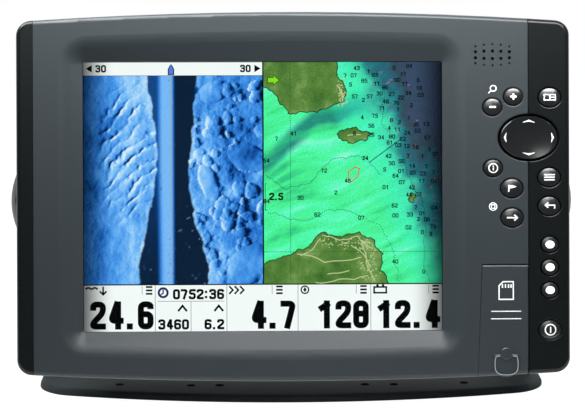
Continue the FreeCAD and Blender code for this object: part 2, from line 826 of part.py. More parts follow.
def chassis():
    """Folded sheet that carries the screen's tray in front and the main board behind."""
    body = new_body("chassis_sheet")
    outline = face_sketch(body, "chassis_front")
    window_rectangle(outline, "241", "188", "3")
    for side in "-+":
        window = (f"screen_x {side} 50 - 30", f"screen_x {side} 50 + 30")
        frame_outline(outline, *window, ("level", "-38"), ("level", "38"), "6")
    for x, z in CHASSIS_PLACES:
        hole(outline, x, z, "1.6")
    grow(body, outline, "sheet_thick")
    folds = face_sketch(body, "chassis_front")
    for low in ("-80", "80 - sheet_thick"):
        frame_outline(folds, "screen_x - 104", "screen_x + 104",
                      ("level", low), ("level", f"{low} + sheet_thick"))
    grow(body, folds, "9")
    posts = face_sketch(body, "chassis_front")
    for x, z in BOARD_POSTS:
        hole(posts, x, z, "3.2")
    grow(body, posts, "board_front - chassis_front")
    threads = face_sketch(body, "board_front")
    for x, z in BOARD_POSTS:
        hole(threads, x, z, "1.25")
    sink(body, threads, "8", False)
    keep(body, "display_chassis")


# ----------------------------------------------------------------- electronics

CHIPS = {
    "processor": ("-45", "8", "27", "27", "2.2"),
    "memory": ("-8", "22", "20", "12", "1.2"),
    "storage": ("-8", "-4", "20", "12", "1.2"),
    "sonar_driver": ("24", "-30", "22", "16", "2.6"),
    "receiver": ("42", "22", "15", "15", "1.6"),
    "transformer": ("-88", "-34", "24", "20", "14"),
    "coil": ("52", "-34", "12", "12", "7"),
}


def main_board():
    """Main circuit board with its chips behind it and a finned sink on the processor."""
    body = new_body("board")
    outline = face_sketch(body, "board_front")
    window_rectangle(outline, "board_wide", "board_high", "2")
    for x, z in BOARD_POSTS:
        hole(outline, x, z, "1.7")
    grow(body, outline, "board_thick")
    keep(body, "main_board")
    back = "board_front + board_thick"
    chips = [block(name, (f"{x} - {wide} / 2", back, f"{z} - {high} / 2"), (wide, thick, high))
             for name, (x, z, wide, high, thick) in CHIPS.items()]
    keep(group("chips", chips), "board_chips")
    x, z, wide, high, thick = CHIPS["processor"]
    sink_body = new_body("finned_sink")
    foot = face_sketch(sink_body, f"{back} + {thick}")
    frame_outline(foot, f"{x} - 18", f"{x} + 18", ("level", f"{z} - 18"), ("level", f"{z} + 18"), "1")
    grow(sink_body, foot, "2.5")
    fin = face_sketch(sink_body, f"{back} + {thick} + 2.4")
    frame_outline(fin, f"{x} - 18", f"{x} - 16.6", ("level", f"{z} - 18"), ("level", f"{z} + 18"))
    fin_pad = grow(sink_body, fin, "sink_high - 2.4")
    row = sink_body.newObject("PartDesign::LinearPattern", "fins")
    row.Originals = [fin_pad]
    row.Direction = (fin, ["H_Axis"])
    row.Length = 34.6
    row.Occurrences = 8
    sink_body.Tip = row
    doc.recompute()
    keep(sink_body, "heat_sink")


def key_board():
    """Key circuit board, the silicone sheet in front of it and the snap domes between them."""
    for name, label, front, thick, bore in (
            ("key_sheet", "keypad_membrane", "8.6", "0.8", "2.8"),
            ("key_circuit", "key_board", "11.15", "1.6", "1.3")):
        body = new_body(name)
        outline = face_sketch(body, front)
        polygon(outline, [("104.5", "-38"), ("142", "-38"), ("142", "-88"), ("156.6", "-88"),
                          ("156.6", "81"), ("134", "81"), ("134", "65.5"), ("104.5", "65.5")])
        for x, z in KEY_BOARD_PLACES:
            hole(outline, x, z, bore)
        grow(body, outline, thick)
        keep(body, label)
    places = [place for place, style in KEY_SIZES.values()]
    places += [(f"pad_x {step}", "pad_z") for step in ("- 11", "+ 11")]
    places += [("pad_x", f"pad_z {step}") for step in ("- 8", "+ 8")]
    domes = [rod(f"dome_{index}", "3", "1.6", (x, "9.5", z), ALONG_BACK)
             for index, (x, z) in enumerate(places)]
    keep(group("domes", domes), "key_switches")
    strip = new_body("ribbon")
    bend = sketch_on(strip, "XY_Plane", "-10")
    polygon(bend, [("106", "12.8"), ("106.3", "12.8"), ("106.3", "33"), ("76", "33"), ("76", "33.95"),
                   ("75.7", "33.95"), ("75.7", "32.7"), ("106", "32.7")])
    grow(strip, bend, "20", False)
    keep(strip, "keypad_ribbon")


def speaker():
    """Small round speaker: flanged basket, cone-shaped back and magnet."""
    body = new_body("loudspeaker")
    profile = sketch_on(body, "XY_Plane", "0")
    reach = "speaker_radius"
    polygon(profile, [("0", "8"), (f"{reach} - 3", "6.7"), (reach, "6.3"), (reach, "8.2"),
                      (f"{reach} - 4.5", "12.5"), (f"{reach} - 4.5", "17"), ("0", "17")])
    turned = body.newObject("PartDesign::Revolution", "basket")
    turned.Profile = profile
    turned.ReferenceAxis = (profile, ["V_Axis"])
    turned.Angle = 360
    doc.recompute()
    body.Placement = Placement(Vector(value("speaker_x"), 0, value("speaker_z")), Rotation())
    keep(body, "speaker")


def card_reader():
    """Metal cage with two card slots that open into the bay."""
    body = new_body("reader")
    outline = face_sketch(body, "bay_depth + 0.3")
    frame_outline(outline, "reader_left", "reader_right",
                  ("level", "reader_bottom"), ("level", "reader_top"), "0.5")
    grow(body, outline, "reader_back - bay_depth - 0.3")
    slots = face_sketch(body, "bay_depth + 0.3")
    for middle in ("- 4.8", "+ 4.8"):
        x = f"(reader_left + reader_right) / 2 {middle}"
        frame_outline(slots, f"{x} - card_slot / 2", f"{x} + card_slot / 2",
                      ("level", "reader_bottom + 3"), ("level", "reader_top - 3"))
    sink(body, slots, "21")
    keep(body, "card_reader")


# ---------------------------------------------------------------- rear housing

def housing_gasket():
    """Rubber ring between the bezel's rim and the rear housing."""
    ring = new_body("rim_gasket")
    outline = face_sketch(ring, "bezel_depth + 0.02")
    outer = "(cover_wall + seam_gap)"
    inner = "(cover_wall + seam_gap + rim_wall)"
    frame_outline(outline, f"-face_half + {outer}", f"face_half - {outer}", *crowned(outer), "6.5")
    frame_outline(outline, f"-face_half + {inner}", f"face_half - {inner}", *crowned(inner), "4")
    grow(ring, outline, "gasket_thick - 0.04")
    keep(ring, "housing_gasket")


def rear_housing():
    """Deep rear shell: a flange on the bezel, drafted walls, and a boss on each side."""
    body = new_body("housing")
    flange = face_sketch(body, "bezel_depth + gasket_thick")
    inset = "(face_half - flange_half)"
    frame_outline(flange, "-flange_half", "flange_half", *crowned(inset), "7.5")
    grow(body, flange, "flange_thick")
    walls = []
    for shrink, front, back in (("0", "bezel_depth + gasket_thick + flange_thick", "housing_back"),
                                ("housing_wall", "bezel_depth + gasket_thick",
                                 "housing_back - housing_wall")):
        shell = []
        for depth, half, low, high, corner in (
                (front, "housing_half", "housing_bottom", "housing_top", "housing_corner"),
                (back, "housing_rear_half", "housing_rear_bottom", "housing_rear_top",
                 "housing_corner + 6")):
            ring = face_sketch(body, depth)
            frame_outline(ring, f"-{half} + {shrink}", f"{half} - {shrink}",
                          ("level", f"{low} + {shrink}"), ("level", f"{high} - {shrink}"),
                          f"{corner} - {shrink}")
            shell.append(ring)
        walls.append(shell)
    loft_between(body, "PartDesign::AdditiveLoft", walls[0])
    depth = value("housing_back")
    round_edges(body, "5", lambda edge: abs(edge.BoundBox.YMin - depth) < 0.001)
    before = body.Shape.Volume
    loft_between(body, "PartDesign::SubtractiveLoft", walls[1])
    if not body.Shape.Volume < before:
        raise RuntimeError("the rear housing stayed solid")
    for side in (-1, 1):
        for start, end, radius in (("126.5", "boss_face", "boss_radius"),
                                   ("115", "127", "insert_radius + 4")):
            boss = sketch_on(body, "YZ_Plane", f"{side} * ({start})")
            hole(boss, "pivot_back", "-pivot_drop", radius)
            grow(body, boss, f"{end} - ({start})", side < 0)
        bore = sketch_on(body, "YZ_Plane", f"{side} * boss_face")
        hole(bore, "pivot_back", "-pivot_drop", "insert_radius")
        sink(body, bore, "insert_long", side > 0)
    holes = face_sketch(body, "bezel_depth + gasket_thick")
    for x, z in SCREW_PLACES:
        hole(holes, x, z, "1.8")
    sink(body, holes, "flange_thick + 1")
    sockets = face_sketch(body, "housing_back - housing_wall - 4")
    for index in range(SOCKETS):
        hole(sockets, f"socket_x + {index} * socket_pitch", "socket_z", "socket_radius + 0.1")
    sink(body, sockets, "housing_wall + 8")
    back_details(body)
    keep(body, "rear_housing")


def back_details(body):
    """Upright ribs across the back, patterned from the first, and a shallow label recess below them."""
    rib = face_sketch(body, "housing_back - 0.5")
    frame_outline(rib, "-rib_reach - rib_wide / 2", "-rib_reach + rib_wide / 2",
                  ("level", "rib_low"), ("level", "rib_high"), "rib_wide / 2 - 0.1")
    first = grow(body, rib, "rib_proud + 0.5")
    row_of_ribs = body.newObject("PartDesign::LinearPattern", "row_of_ribs")
    row_of_ribs.Originals = [first]
    row_of_ribs.Direction = (rib, ["H_Axis"])
    row_of_ribs.Occurrences = RIBS
    bind(row_of_ribs, Length="2 * rib_reach")
    body.Tip = row_of_ribs
    doc.recompute()
    crest = value("housing_back + rib_proud")
    round_edges(body, "0.6", lambda edge: is_level(edge, crest))
    label = face_sketch(body, "housing_back - label_deep")
    frame_outline(label, "label_left", "label_right", ("level", "label_low"), ("level", "label_high"), "2")
    sink(body, label, "label_deep + 3")


def connectors():
    """Five sockets through the back: threaded shells, contact inserts, and nuts inside."""
    shells = []
    inserts = []
    nuts = []
    for index in range(SOCKETS):
        tag = f"_{index + 1}"

        def across(name, radius, length, front, x=f"socket_x + {index} * socket_pitch", z="socket_z"):
            return rod(name, radius, length, (x, f"housing_back {front}", z), ALONG_BACK)

        barrel = across("barrel" + tag, "socket_radius", "18", "- 9")
        collar = across("collar" + tag, "socket_radius + 2.2", "2.4", "+ 0.05")
        inside = across("mouth" + tag, "socket_radius - 1.6", "19", "- 9.5")
        shells.append(without("socket" + tag, joined("barrels" + tag, [barrel, collar]), [inside]))
        plug = across("plug" + tag, "socket_radius - 1.6", "17", "- 9")
        contacts = []
        for turn in range(4):
            angle = QUARTER_TURN * (turn + 0.5)
            contacts.append(across(f"contact{tag}_{turn + 1}", "0.7", "9", "+ 1",
                                   f"socket_x + {index} * socket_pitch + {2.6 * math.cos(angle):.3f}",
                                   f"socket_z + {2.6 * math.sin(angle):.3f}"))
        inserts.append(without("insert" + tag, plug, contacts))
        nut = doc.addObject("Part::Prism", "nut" + tag)
        nut.Polygon = 6
        nut.Circumradius = 10
        nut.Height = 4
        nut.Placement = Placement(Vector(value(f"socket_x + {index} * socket_pitch"),
                                         value("housing_back - 7.1"), value("socket_z")), ALONG_BACK)
        through = across("nut_bore" + tag, "socket_radius", "6", "- 8")
        nuts.append(without("ring_nut" + tag, nut, [through]))
    keep(group("shells", shells), "connector_shells")
    keep(group("inserts", inserts), "connector_inserts")
    keep(group("nuts", nuts), "connector_nuts")


def screw_group(label, places, seat, shank, shank_radius, head_radius, head_high):
    """Pan-head screws driven from behind: shanks toward the face, heads at seat."""
    screws = []
    for index, (x, z) in enumerate(places):
        tag = f"{label}_{index + 1}"
        thread = rod(tag + "_shank", shank_radius, f"{shank} + 0.5", (x, f"{seat} - {shank}", z), ALONG_BACK)
        head = rod(tag + "_head", head_radius, head_high, (x, seat, z), ALONG_BACK)
        screws.append(joined(tag, [thread, head]))
    keep(group(label + "_group", screws), label)


def fasteners():
    screw_group("housing_screws", SCREW_PLACES, "bezel_depth + gasket_thick + flange_thick",
                "11", "1.45", "2.9", "2.2")
    screw_group("chassis_screws", CHASSIS_PLACES, "chassis_front + sheet_thick", "7.5", "1.25", "2.6", "1.8")
    screw_group("board_screws", BOARD_POSTS, "board_front + board_thick", "7", "1.25", "2.6", "1.8")
    screw_group("key_board_screws", KEY_BOARD_PLACES, "12.75", "4.6", "1.05", "2.2", "1.5")


# ------------------------------------------------------------- pivot and knobs

SIDES = {"left": -1, "right": 1}


def knob_stack(side, sign):
    """Insert, friction washer, flat washer, stud and knob of one side, inner to outer."""
    outward = ALONG_LEFT if sign < 0 else ALONG_RIGHT
    axis = ("pivot_back", "-pivot_drop")

    def at(distance):
        return (f"{sign} * ({distance})", *axis)

    insert_start = "boss_face - insert_long"
    barrel = rod(side + "_barrel", "insert_radius", "insert_long", at(insert_start), outward)
    thread = rod(side + "_thread", "stud_radius + stud_gap", "insert_long + 2",
                 at("boss_face - insert_long - 1"), outward)
    keep(without(side + "_sleeve", barrel, [thread]), f"pivot_insert_{side}")
    disc = rod(side + "_disc", "arm_top_radius - 0.5", "friction_thick", at("boss_face"), outward)
    eye = rod(side + "_eye", "stud_radius + 0.3", "friction_thick + 2", at("boss_face - 1"), outward)
    keep(without(side + "_pad", disc, [eye]), f"friction_washer_{side}")
    ring = rod(side + "_ring", "8.5", "washer_thick", at("arm_outer + 0.15"), outward)
    ring_eye = rod(side + "_ring_eye", "stud_radius + 0.2", "washer_thick + 2", at("arm_outer - 1"), outward)
    keep(without(side + "_flat", ring, [ring_eye]), f"knob_washer_{side}")
    stud = rod(side + "_bolt", "stud_radius", "knob_base + 13 - boss_face + insert_long - 1.4",
               at("boss_face - insert_long + 1.4"), outward)
    keep(stud, f"knob_stud_{side}")
    knob(side, Placement(Vector(*[value(place) for place in at("knob_base")]), outward))


def knob(side, place):
    """Domed hand knob with scalloped sides, moulded round its stud."""
    body = new_body(side + "_grip")
    profile = sketch_on(body, "XZ_Plane")
    high = "(knob_apex - knob_base)"
    rim = f"({high} - knob_dome + sqrt(knob_dome ^ 2 - (knob_radius - 1) ^ 2))"
    points = [("0", "0"), ("knob_radius - 5", "0"), ("knob_radius", "4"),
              ("knob_radius", f"{rim} - 1"), ("knob_radius - 1", rim), ("0", high)]
    spots = [Vector(value(x), value(z), 0) for x, z in points]
    circle = Part.Circle(Vector(0, value(f"{high} - knob_dome"), 0), Vector(0, 0, 1), value("knob_dome"))
    for index, spot in enumerate(spots):
        after = spots[(index + 1) % len(spots)]
        if index == 4:
            add_arc(profile, circle, spot, after)
        else:
            profile.addGeometry(Part.LineSegment(spot, after))
    for index, (x, z) in enumerate(points):
        profile.addConstraint(Sketcher.Constraint("Coincident", index, 2, (index + 1) % 6, 1))
        place_point(profile, index, 1, x, z)
    size_to(profile, "Radius", (4,), "knob_dome")
    turned = body.newObject("PartDesign::Revolution", side + "_turned")
    turned.Profile = profile
    turned.ReferenceAxis = (profile, ["V_Axis"])
    turned.Angle = 360
    doc.recompute()
    scallop = sketch_on(body, "XY_Plane", "3")
    hole(scallop, "knob_radius + knob_scallop - 2.6", "0", "knob_scallop")
    groove = sink(body, scallop, "30", False)
    lobes = body.newObject("PartDesign::PolarPattern", side + "_lobes")
    lobes.Originals = [groove]
    lobes.Axis = (scallop, ["N_Axis"])
    lobes.Angle = 360
    lobes.Occurrences = KNOB_LOBES
    body.Tip = lobes
    doc.recompute()
    bore = sketch_on(body, "XY_Plane", "-1")
    hole(bore, "0", "0", "stud_radius")
    sink(body, bore, "14", False)
    body.Placement = place
    keep(body, f"{side}_knob")


def gimbal_bracket():
    """Base plate with an arched front edge and two drafted arms with round heads."""
    body = new_body("bracket")
    plate = sketch_on(body, "XY_Plane")
    front = ("crown", "plate_front", "plate_arc")
    frame_outline(plate, "-plate_half", "plate_half", front, ("level", "plate_rear"),
                  ("plate_corner", "12", "12", "plate_corner"))
    grow(body, plate, "plate_thick", False)
    arm = sketch_on(body, "YZ_Plane", "arm_inner")
    arm_outline(arm)
    arm_pad = grow(body, arm, "arm_outer - arm_inner", False)
    pair = body.newObject("PartDesign::Mirrored", "arms")
    pair.Originals = [arm_pad]
    pair.MirrorPlane = (next(part for part in body.Origin.OriginFeatures if part.Role == "YZ_Plane"), [""])
    body.Tip = pair
    doc.recompute()
    top = value("plate_thick")
    inner = value("arm_inner")
    round_edges(body, "5", lambda edge: abs(edge.BoundBox.ZMin - top) < 0.001
                and edge.BoundBox.ZLength < 0.001 and edge.BoundBox.YLength > 30
                and abs(abs(edge.BoundBox.XMin) - inner) < 0.01)
    bore = sketch_on(body, "YZ_Plane", "-160")
    hole(bore, "0", "pivot_height", "stud_radius + stud_gap")
    sink(body, bore, "320", False)
    holes = sketch_on(body, "XY_Plane")
    for x, y in (("hole_outer_x", "hole_outer_y"), ("hole_middle_x", "hole_inner_y"),
                 ("hole_inner_x", "hole_inner_y"), ("hole_outer_x", "hole_rear_y"),
                 ("hole_inner_x", "hole_rear_y")):
        for sign in "-+":
            hole(holes, f"{sign}1 * {x}", y, "hole_radius")
    sink(body, holes, "plate_thick + 1", False)
    side = value("plate_half") - 0.01

    def on_plate_rim(edge):
        box = edge.BoundBox
        level = abs(box.ZMin - top) < 0.001 and box.ZLength < 0.001
        return level and (box.YMax < -15 or box.YMin > 55 or box.XMax > side or box.XMin < -side)

    round_edges(body, "plate_lip", on_plate_rim)
    keep(body, "gimbal_bracket", ROW)


def arm_outline(sketch):
    """Foot on the plate, two straight flanks and a round head tangent to both."""
    height = value("pivot_height")
    radius = value("arm_top_radius")
    foot = value("plate_thick") - 1
    front = value("arm_foot_front")
    rear = value("arm_foot_rear")
    tangents = []
    for y, side in ((rear, 1), (front, -1)):
        distance = math.hypot(y, height - foot)
        lean = math.atan2(foot - height, y) + side * math.acos(radius / distance)
        tangents.append(Vector(radius * math.cos(lean), height + radius * math.sin(lean), 0))
    corners = [Vector(front, foot, 0), Vector(rear, foot, 0)]
    sketch.addGeometry(Part.LineSegment(corners[0], corners[1]))
    sketch.addGeometry(Part.LineSegment(corners[1], tangents[0]))
    sketch.addGeometry(Part.Arc(tangents[0], Vector(0, height + radius, 0), tangents[1]))
    sketch.addGeometry(Part.LineSegment(tangents[1], corners[0]))
    sketch.addConstraint(Sketcher.Constraint("Coincident", 0, 2, 1, 1))
    sketch.addConstraint(Sketcher.Constraint("Coincident", 3, 2, 0, 1))
    sketch.addConstraint(Sketcher.Constraint("Tangent", 1, 2, 2, 1))
    sketch.addConstraint(Sketcher.Constraint("Tangent", 2, 2, 3, 1))
    place_point(sketch, 0, 1, "arm_foot_front", "plate_thick - 1")
    place_point(sketch, 0, 2, "arm_foot_rear", "plate_thick - 1")
    place_point(sketch, 2, 3, "0", "pivot_height")
    size_to(sketch, "Radius", (2,), "arm_top_radius")


# ------------------------------------------------------------------ build all

front_bezel()
side_covers()
card_bay()
card_door()
door_latch()
door_seal()
for key_name, (key_place, key_style) in KEY_SIZES.items():
    key_cap(key_name, key_place, key_style)
cursor_pad()
display_stack()
main_board()
key_board()
speaker()
card_reader()
housing_gasket()
rear_housing()
connectors()
fasteners()
for side_name, side_sign in SIDES.items():
    knob_stack(side_name, side_sign)
gimbal_bracket()
doc.recompute()

for thing in doc.Objects:
    if "Invalid" in thing.State or "Error" in thing.State:
        raise RuntimeError(f"{thing.Name} ({thing.Label}) failed: {thing.State}")
os.makedirs("parts", exist_ok=True)
for label, thing in sub_parts.items():
    shape = thing.Shape
    if shape.isNull() or not shape.isValid():
        raise RuntimeError(f"{label} has no valid shape")
    shape.exportStep(f"parts/{label}.step")
print(len(sub_parts), "sub-parts written")
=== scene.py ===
import json
import math
import random

import bmesh
import bpy
from mathutils import Matrix, Vector, noise


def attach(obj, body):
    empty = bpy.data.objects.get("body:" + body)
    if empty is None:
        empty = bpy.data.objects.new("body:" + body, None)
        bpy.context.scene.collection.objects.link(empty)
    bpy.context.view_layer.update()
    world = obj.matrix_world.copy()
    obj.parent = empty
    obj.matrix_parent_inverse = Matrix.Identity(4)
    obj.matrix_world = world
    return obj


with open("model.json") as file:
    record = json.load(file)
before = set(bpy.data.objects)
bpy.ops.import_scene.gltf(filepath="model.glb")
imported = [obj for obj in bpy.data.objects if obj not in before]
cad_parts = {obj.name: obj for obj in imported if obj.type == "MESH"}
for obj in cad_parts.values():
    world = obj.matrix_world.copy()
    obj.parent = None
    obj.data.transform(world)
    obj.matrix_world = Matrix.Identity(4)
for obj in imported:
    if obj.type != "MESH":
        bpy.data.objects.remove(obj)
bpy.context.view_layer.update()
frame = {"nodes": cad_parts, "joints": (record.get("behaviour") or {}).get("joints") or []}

# Sizes are in millimetres, which MM turns to metres. Lamps and the lens are placed in metres.
MM = 0.001

# ---------------------------------------------------------------- how the head leans
# The head hangs between two arms and leans back 10 degrees. Its pieces are drawn square to
# its face: x to the right, y back into the head, z up, from the middle of the face.
tilt_joint = next(joint for joint in frame["joints"] if joint["name"] == "head_tilt")
LEAN = math.radians(10)
PIVOT_BEHIND_FACE = 58
PIVOT_BELOW_MIDDLE = 2
HEAD = (
    Matrix.Translation(tilt_joint["pos_m"])
    @ Matrix.Rotation(-LEAN, 4, "X")
    @ Matrix.Translation((0, -PIVOT_BEHIND_FACE * MM, PIVOT_BELOW_MIDDLE * MM))
)

# ---------------------------------------------------------------- camera
# A long lens a little over a metre from the face, looking along the head's own lean,
# so the face shows square on, and a touch from the left.
VIEW_DISTANCE = 1.1
VIEW_FROM_LEFT = math.radians(-1.25)
VIEW_MIDDLE = Vector((-0.88, 0, -5.63))
camera = bpy.data.objects.new("camera", bpy.data.cameras.new("camera"))
camera.data.sensor_width = 36
camera.data.lens = 115.4
camera.rotation_euler = (math.pi / 2 - LEAN, 0, VIEW_FROM_LEFT)
towards_camera = camera.rotation_euler.to_matrix() @ Vector((0, 0, 1))
camera.location = HEAD @ (VIEW_MIDDLE * MM) + towards_camera * VIEW_DISTANCE
bpy.context.scene.collection.objects.link(camera)
bpy.context.scene.camera = camera
bpy.context.scene.view_settings.view_transform = "Standard"


# ---------------------------------------------------------------- room
# A white table top and four softboxes: a strip hung close over the head, which brightens
# whatever faces up, two long ones in front and a large one behind. The room itself is dim.
# The table ends not far in front of the bracket, so that the face mirrors less of its white.
def linear(colour):
    """An sRGB hex colour as linear red, green, blue and 1."""
    parts = [int(colour[i:i + 2], 16) / 255 for i in (1, 3, 5)]
    return (*[c / 12.92 if c <= 0.04045 else ((c + 0.055) / 1.055) ** 2.4 for c in parts], 1)


def add(tree, kind, sockets=(), **settings):
    """One shader node. A socket takes a plain value or another node's output."""
    made = tree.nodes.new("ShaderNode" + kind)
    for name, setting in settings.items():
        setattr(made, name, setting)
    for name, given in dict(sockets).items():
        if isinstance(given, bpy.types.NodeSocket):
            tree.links.new(given, made.inputs[name])
        else:
            made.inputs[name].default_value = given
    return made


def new_material(name):
    """A material with no nodes yet, and the tree they go in."""
    made = bpy.data.materials.new(name)
    made.use_nodes = True
    made.node_tree.nodes.clear()
    return made, made.node_tree


def new_mesh(name, bm, material, matrix=HEAD, smooth=True):
    """A bmesh drawn in millimetres becomes an object in the scene."""
    mesh = bpy.data.meshes.new(name)
    bmesh.ops.scale(bm, vec=(MM, MM, MM), verts=bm.verts)
    for face in bm.faces:
        face.smooth = smooth
    bm.to_mesh(mesh)
    bm.free()
    made = bpy.data.objects.new(name, mesh)
    made.data.materials.append(material)
    made.matrix_world = matrix
    bpy.context.scene.collection.objects.link(made)
    return made


def seen_rays(tree):
    """1 for the rays that show a thing: straight, mirrored and through glass."""
    path = add(tree, "LightPath").outputs
    either = add(tree, "Math", {
        0: path["Is Camera Ray"], 1: path["Is Glossy Ray"]}, operation="MAXIMUM")
    seen = add(tree, "Math", {
        0: either.outputs[0], 1: path["Is Transmission Ray"]}, operation="MAXIMUM")
    return seen.outputs[0]


SPECKLE = 15
table_white, tree = new_material("white laminate table top")
place = add(tree, "TexCoord").outputs["Object"]
speckle = add(tree, "TexNoise", {"Vector": place, "Scale": 1 / (SPECKLE * MM), "Detail": 2})
tone = add(tree, "MapRange", {"Value": speckle.outputs["Fac"], "To Min": 0.84, "To Max": 0.88})
matt = add(tree, "BsdfDiffuse", {"Color": tone.outputs[0]})
GLOW, GLOW_SHARE = 1.32, 0.75
glow = add(tree, "Emission", {"Color": linear("#ffffff"), "Strength": GLOW})
share = add(tree, "Math", {0: seen_rays(tree), 1: GLOW_SHARE}, operation="MULTIPLY")
both = add(tree, "MixShader", {0: share.outputs[0], 1: matt.outputs[0], 2: glow.outputs[0]})
add(tree, "OutputMaterial", {"Surface": both.outputs[0]})

TABLE_SIDE, TABLE_FRONT, TABLE_BACK = 3000, -185, 3000
bm = bmesh.new()
corners = [(-TABLE_SIDE, TABLE_FRONT), (TABLE_SIDE, TABLE_FRONT),
           (TABLE_SIDE, TABLE_BACK), (-TABLE_SIDE, TABLE_BACK)]
bm.faces.new([bm.verts.new((x, y, 0)) for x, y in corners])
floor = new_mesh("floor", bm, table_white, Matrix())

world = bpy.data.worlds.new("room")
world.use_nodes = True
tree = world.node_tree
tree.nodes.clear()
heading = add(tree, "SeparateXYZ", {0: add(tree, "TexCoord").outputs["Generated"]})
behind = add(tree, "MapRange", {
    "Value": heading.outputs["Y"], "From Min": -0.2, "From Max": 0.5, "To Min": 0.1, "To Max": 1})
path = add(tree, "LightPath").outputs
straight = add(tree, "Math", {
    0: path["Is Camera Ray"], 1: path["Is Transmission Ray"]}, operation="MAXIMUM")
mirrored = add(tree, "Math", {0: path["Is Glossy Ray"], 1: behind.outputs[0]}, operation="MULTIPLY")
white = add(tree, "Math", {0: straight.outputs[0], 1: mirrored.outputs[0]}, operation="MAXIMUM")
dim = add(tree, "Background", {"Color": linear("#f4f7fa"), "Strength": 0.07})
bright = add(tree, "Background", {"Color": linear("#ffffff"), "Strength": 1})
both = add(tree, "MixShader", {0: white.outputs[0], 1: dim.outputs[0], 2: bright.outputs[0]})
add(tree, "OutputWorld", {"Surface": both.outputs[0]})
bpy.context.scene.world = world

SOFTBOXES = {
    "high_softbox": dict(at=(0.04, -0.7, 0.86), size=(0.5, 0.22), watts=3.7),
    "low_softbox": dict(at=(-0.06, -1.1, 0.71), size=(0.6, 0.28), watts=1.7),
    "overhead_strip": dict(at=(-0.02, -0.12, 0.38), size=(0.68, 0.11), watts=3.7),
    "rear_softbox": dict(at=(0.35, 1.1, 1.0), size=(1.2, 0.8), watts=8),
}
for name, box in SOFTBOXES.items():
    lamp = bpy.data.lights.new(name, "AREA")
    lamp.shape = "RECTANGLE"
    lamp.size, lamp.size_y = box["size"]
    lamp.energy = box["watts"]
    holder = bpy.data.objects.new(name, lamp)
    holder.location = box["at"]
    holder.rotation_euler = (Vector(box["at"]) - HEAD.translation).to_track_quat("Z", "Y").to_euler()
    holder.visible_camera = False
    bpy.context.scene.collection.objects.link(holder)


# ---------------------------------------------------------------- bracket
# A yoke moulded in one from glass-filled nylon. The glass leaves it dark, matt and a
# little streaky, with a coarse grain. Its foot is painted paler near the floor, painted
# light on the plate's front lip, which sits in shade.
# A real tool's grain is 0.1 mm or so, too fine to show, so it is drawn several times coarser.
FLOW_MARK = 71
# Heights in mm where the painted light at the foot is full, and where it is gone.
FOOT_LIGHT_FULL, FOOT_LIGHT_GONE = 4, 7
GLOSS_DRIFT = 0.05


def moulded(name, colour, roughness, grain, relief, drift=0.06, shine=0.5, painted_light_foot=1):
    """A moulded plastic: its tool's grain and relief in mm, a slight drift of tone, and how many
    times paler it is painted near the ground, as painted light on a foot in shade."""
    made, tree = new_material(name)
    place = add(tree, "TexCoord").outputs["Object"]
    flow = add(tree, "TexNoise", {"Vector": place, "Scale": 1 / (FLOW_MARK * MM), "Detail": 4})
    tone = add(tree, "MapRange", {
        "Value": flow.outputs["Fac"], "To Min": 1 - drift, "To Max": 1 + drift})
    height = add(tree, "SeparateXYZ", {0: place}).outputs["Z"]
    # Painted light: the colour grows paler near the ground, where the foot sits in shade.
    foot_light = add(tree, "MapRange", {
        "Value": height, "From Min": FOOT_LIGHT_FULL * MM, "From Max": FOOT_LIGHT_GONE * MM,
        "To Min": painted_light_foot, "To Max": 1})
    tone_and_foot_light = add(tree, "Math", {0: tone.outputs[0], 1: foot_light.outputs[0]}, operation="MULTIPLY")
    tint = add(tree, "HueSaturation", {"Color": linear(colour), "Value": tone_and_foot_light.outputs[0]})
    pits = add(tree, "TexNoise", {
        "Vector": place, "Scale": 1 / (grain * MM), "Detail": 2, "Roughness": 0.6})
    gloss = add(tree, "MapRange", {
        "Value": pits.outputs["Fac"],
        "To Min": roughness - GLOSS_DRIFT, "To Max": roughness + GLOSS_DRIFT})
    bump = add(tree, "Bump", {"Height": pits.outputs["Fac"], "Distance": relief * MM, "Strength": 1})
    shader = add(tree, "BsdfPrincipled", {
        "Base Color": tint.outputs[0], "Roughness": gloss.outputs[0], "Normal": bump.outputs[0],
        "Specular IOR Level": shine})
    add(tree, "OutputMaterial", {"Surface": shader.outputs[0]})
    return made


def finish(material, *nodes):
    """Give CAD nodes their material."""
    for name in nodes:
        for slot in frame["nodes"][name].material_slots:
            slot.material = material


nylon = moulded("glass-filled nylon, spark-eroded mould", "#33383a",
                roughness=0.7, grain=0.9, relief=0.07, drift=0.2, shine=0.04, painted_light_foot=2.3)
finish(nylon, "gimbal_bracket")

# ---------------------------------------------------------------- rear housing
# The deep back shell, moulded ABS with a fine leather grain, screwed to the bezel
# over a rubber gasket. Its two bosses carry the brass inserts that the knobs turn in.
housing_abs = moulded("black ABS, leather-grained mould", "#222526",
                      roughness=0.46, grain=1.1, relief=0.06)
finish(housing_abs, "rear_housing", "card_bay")
gasket_rubber = moulded("silicone rubber, compression moulded", "#141516",
                        roughness=0.65, grain=0.7, relief=0.03)
finish(gasket_rubber, "housing_gasket", "display_gasket", "door_seal", "keypad_membrane", "cursor_pad_post",
       "friction_washer_left", "friction_washer_right")

# ---------------------------------------------------------------- front bezel
# The grey frame round the screen is one ABS and polycarbonate moulding. A fine spark
# texture leaves it satin: soft light slides over it and gathers on the slopes.
bezel_abs = moulded("grey ABS and polycarbonate, fine spark texture", "#2b3134",
                    roughness=0.35, grain=0.8, relief=0.012, drift=0.03, shine=0.35)
finish(bezel_abs, "front_bezel")

# ---------------------------------------------------------------- side covers
# Near-black caps that clip over the bezel's ends, moulded against a smoother tool,
# so they read darker and a little glossier than the frame beside them.
cover_abs = moulded("black ABS, satin tool", "#0c1011",
                    roughness=0.24, grain=0.8, relief=0.003, drift=0.03, shine=0.3)
finish(cover_abs, "left_side_cover", "right_side_cover")

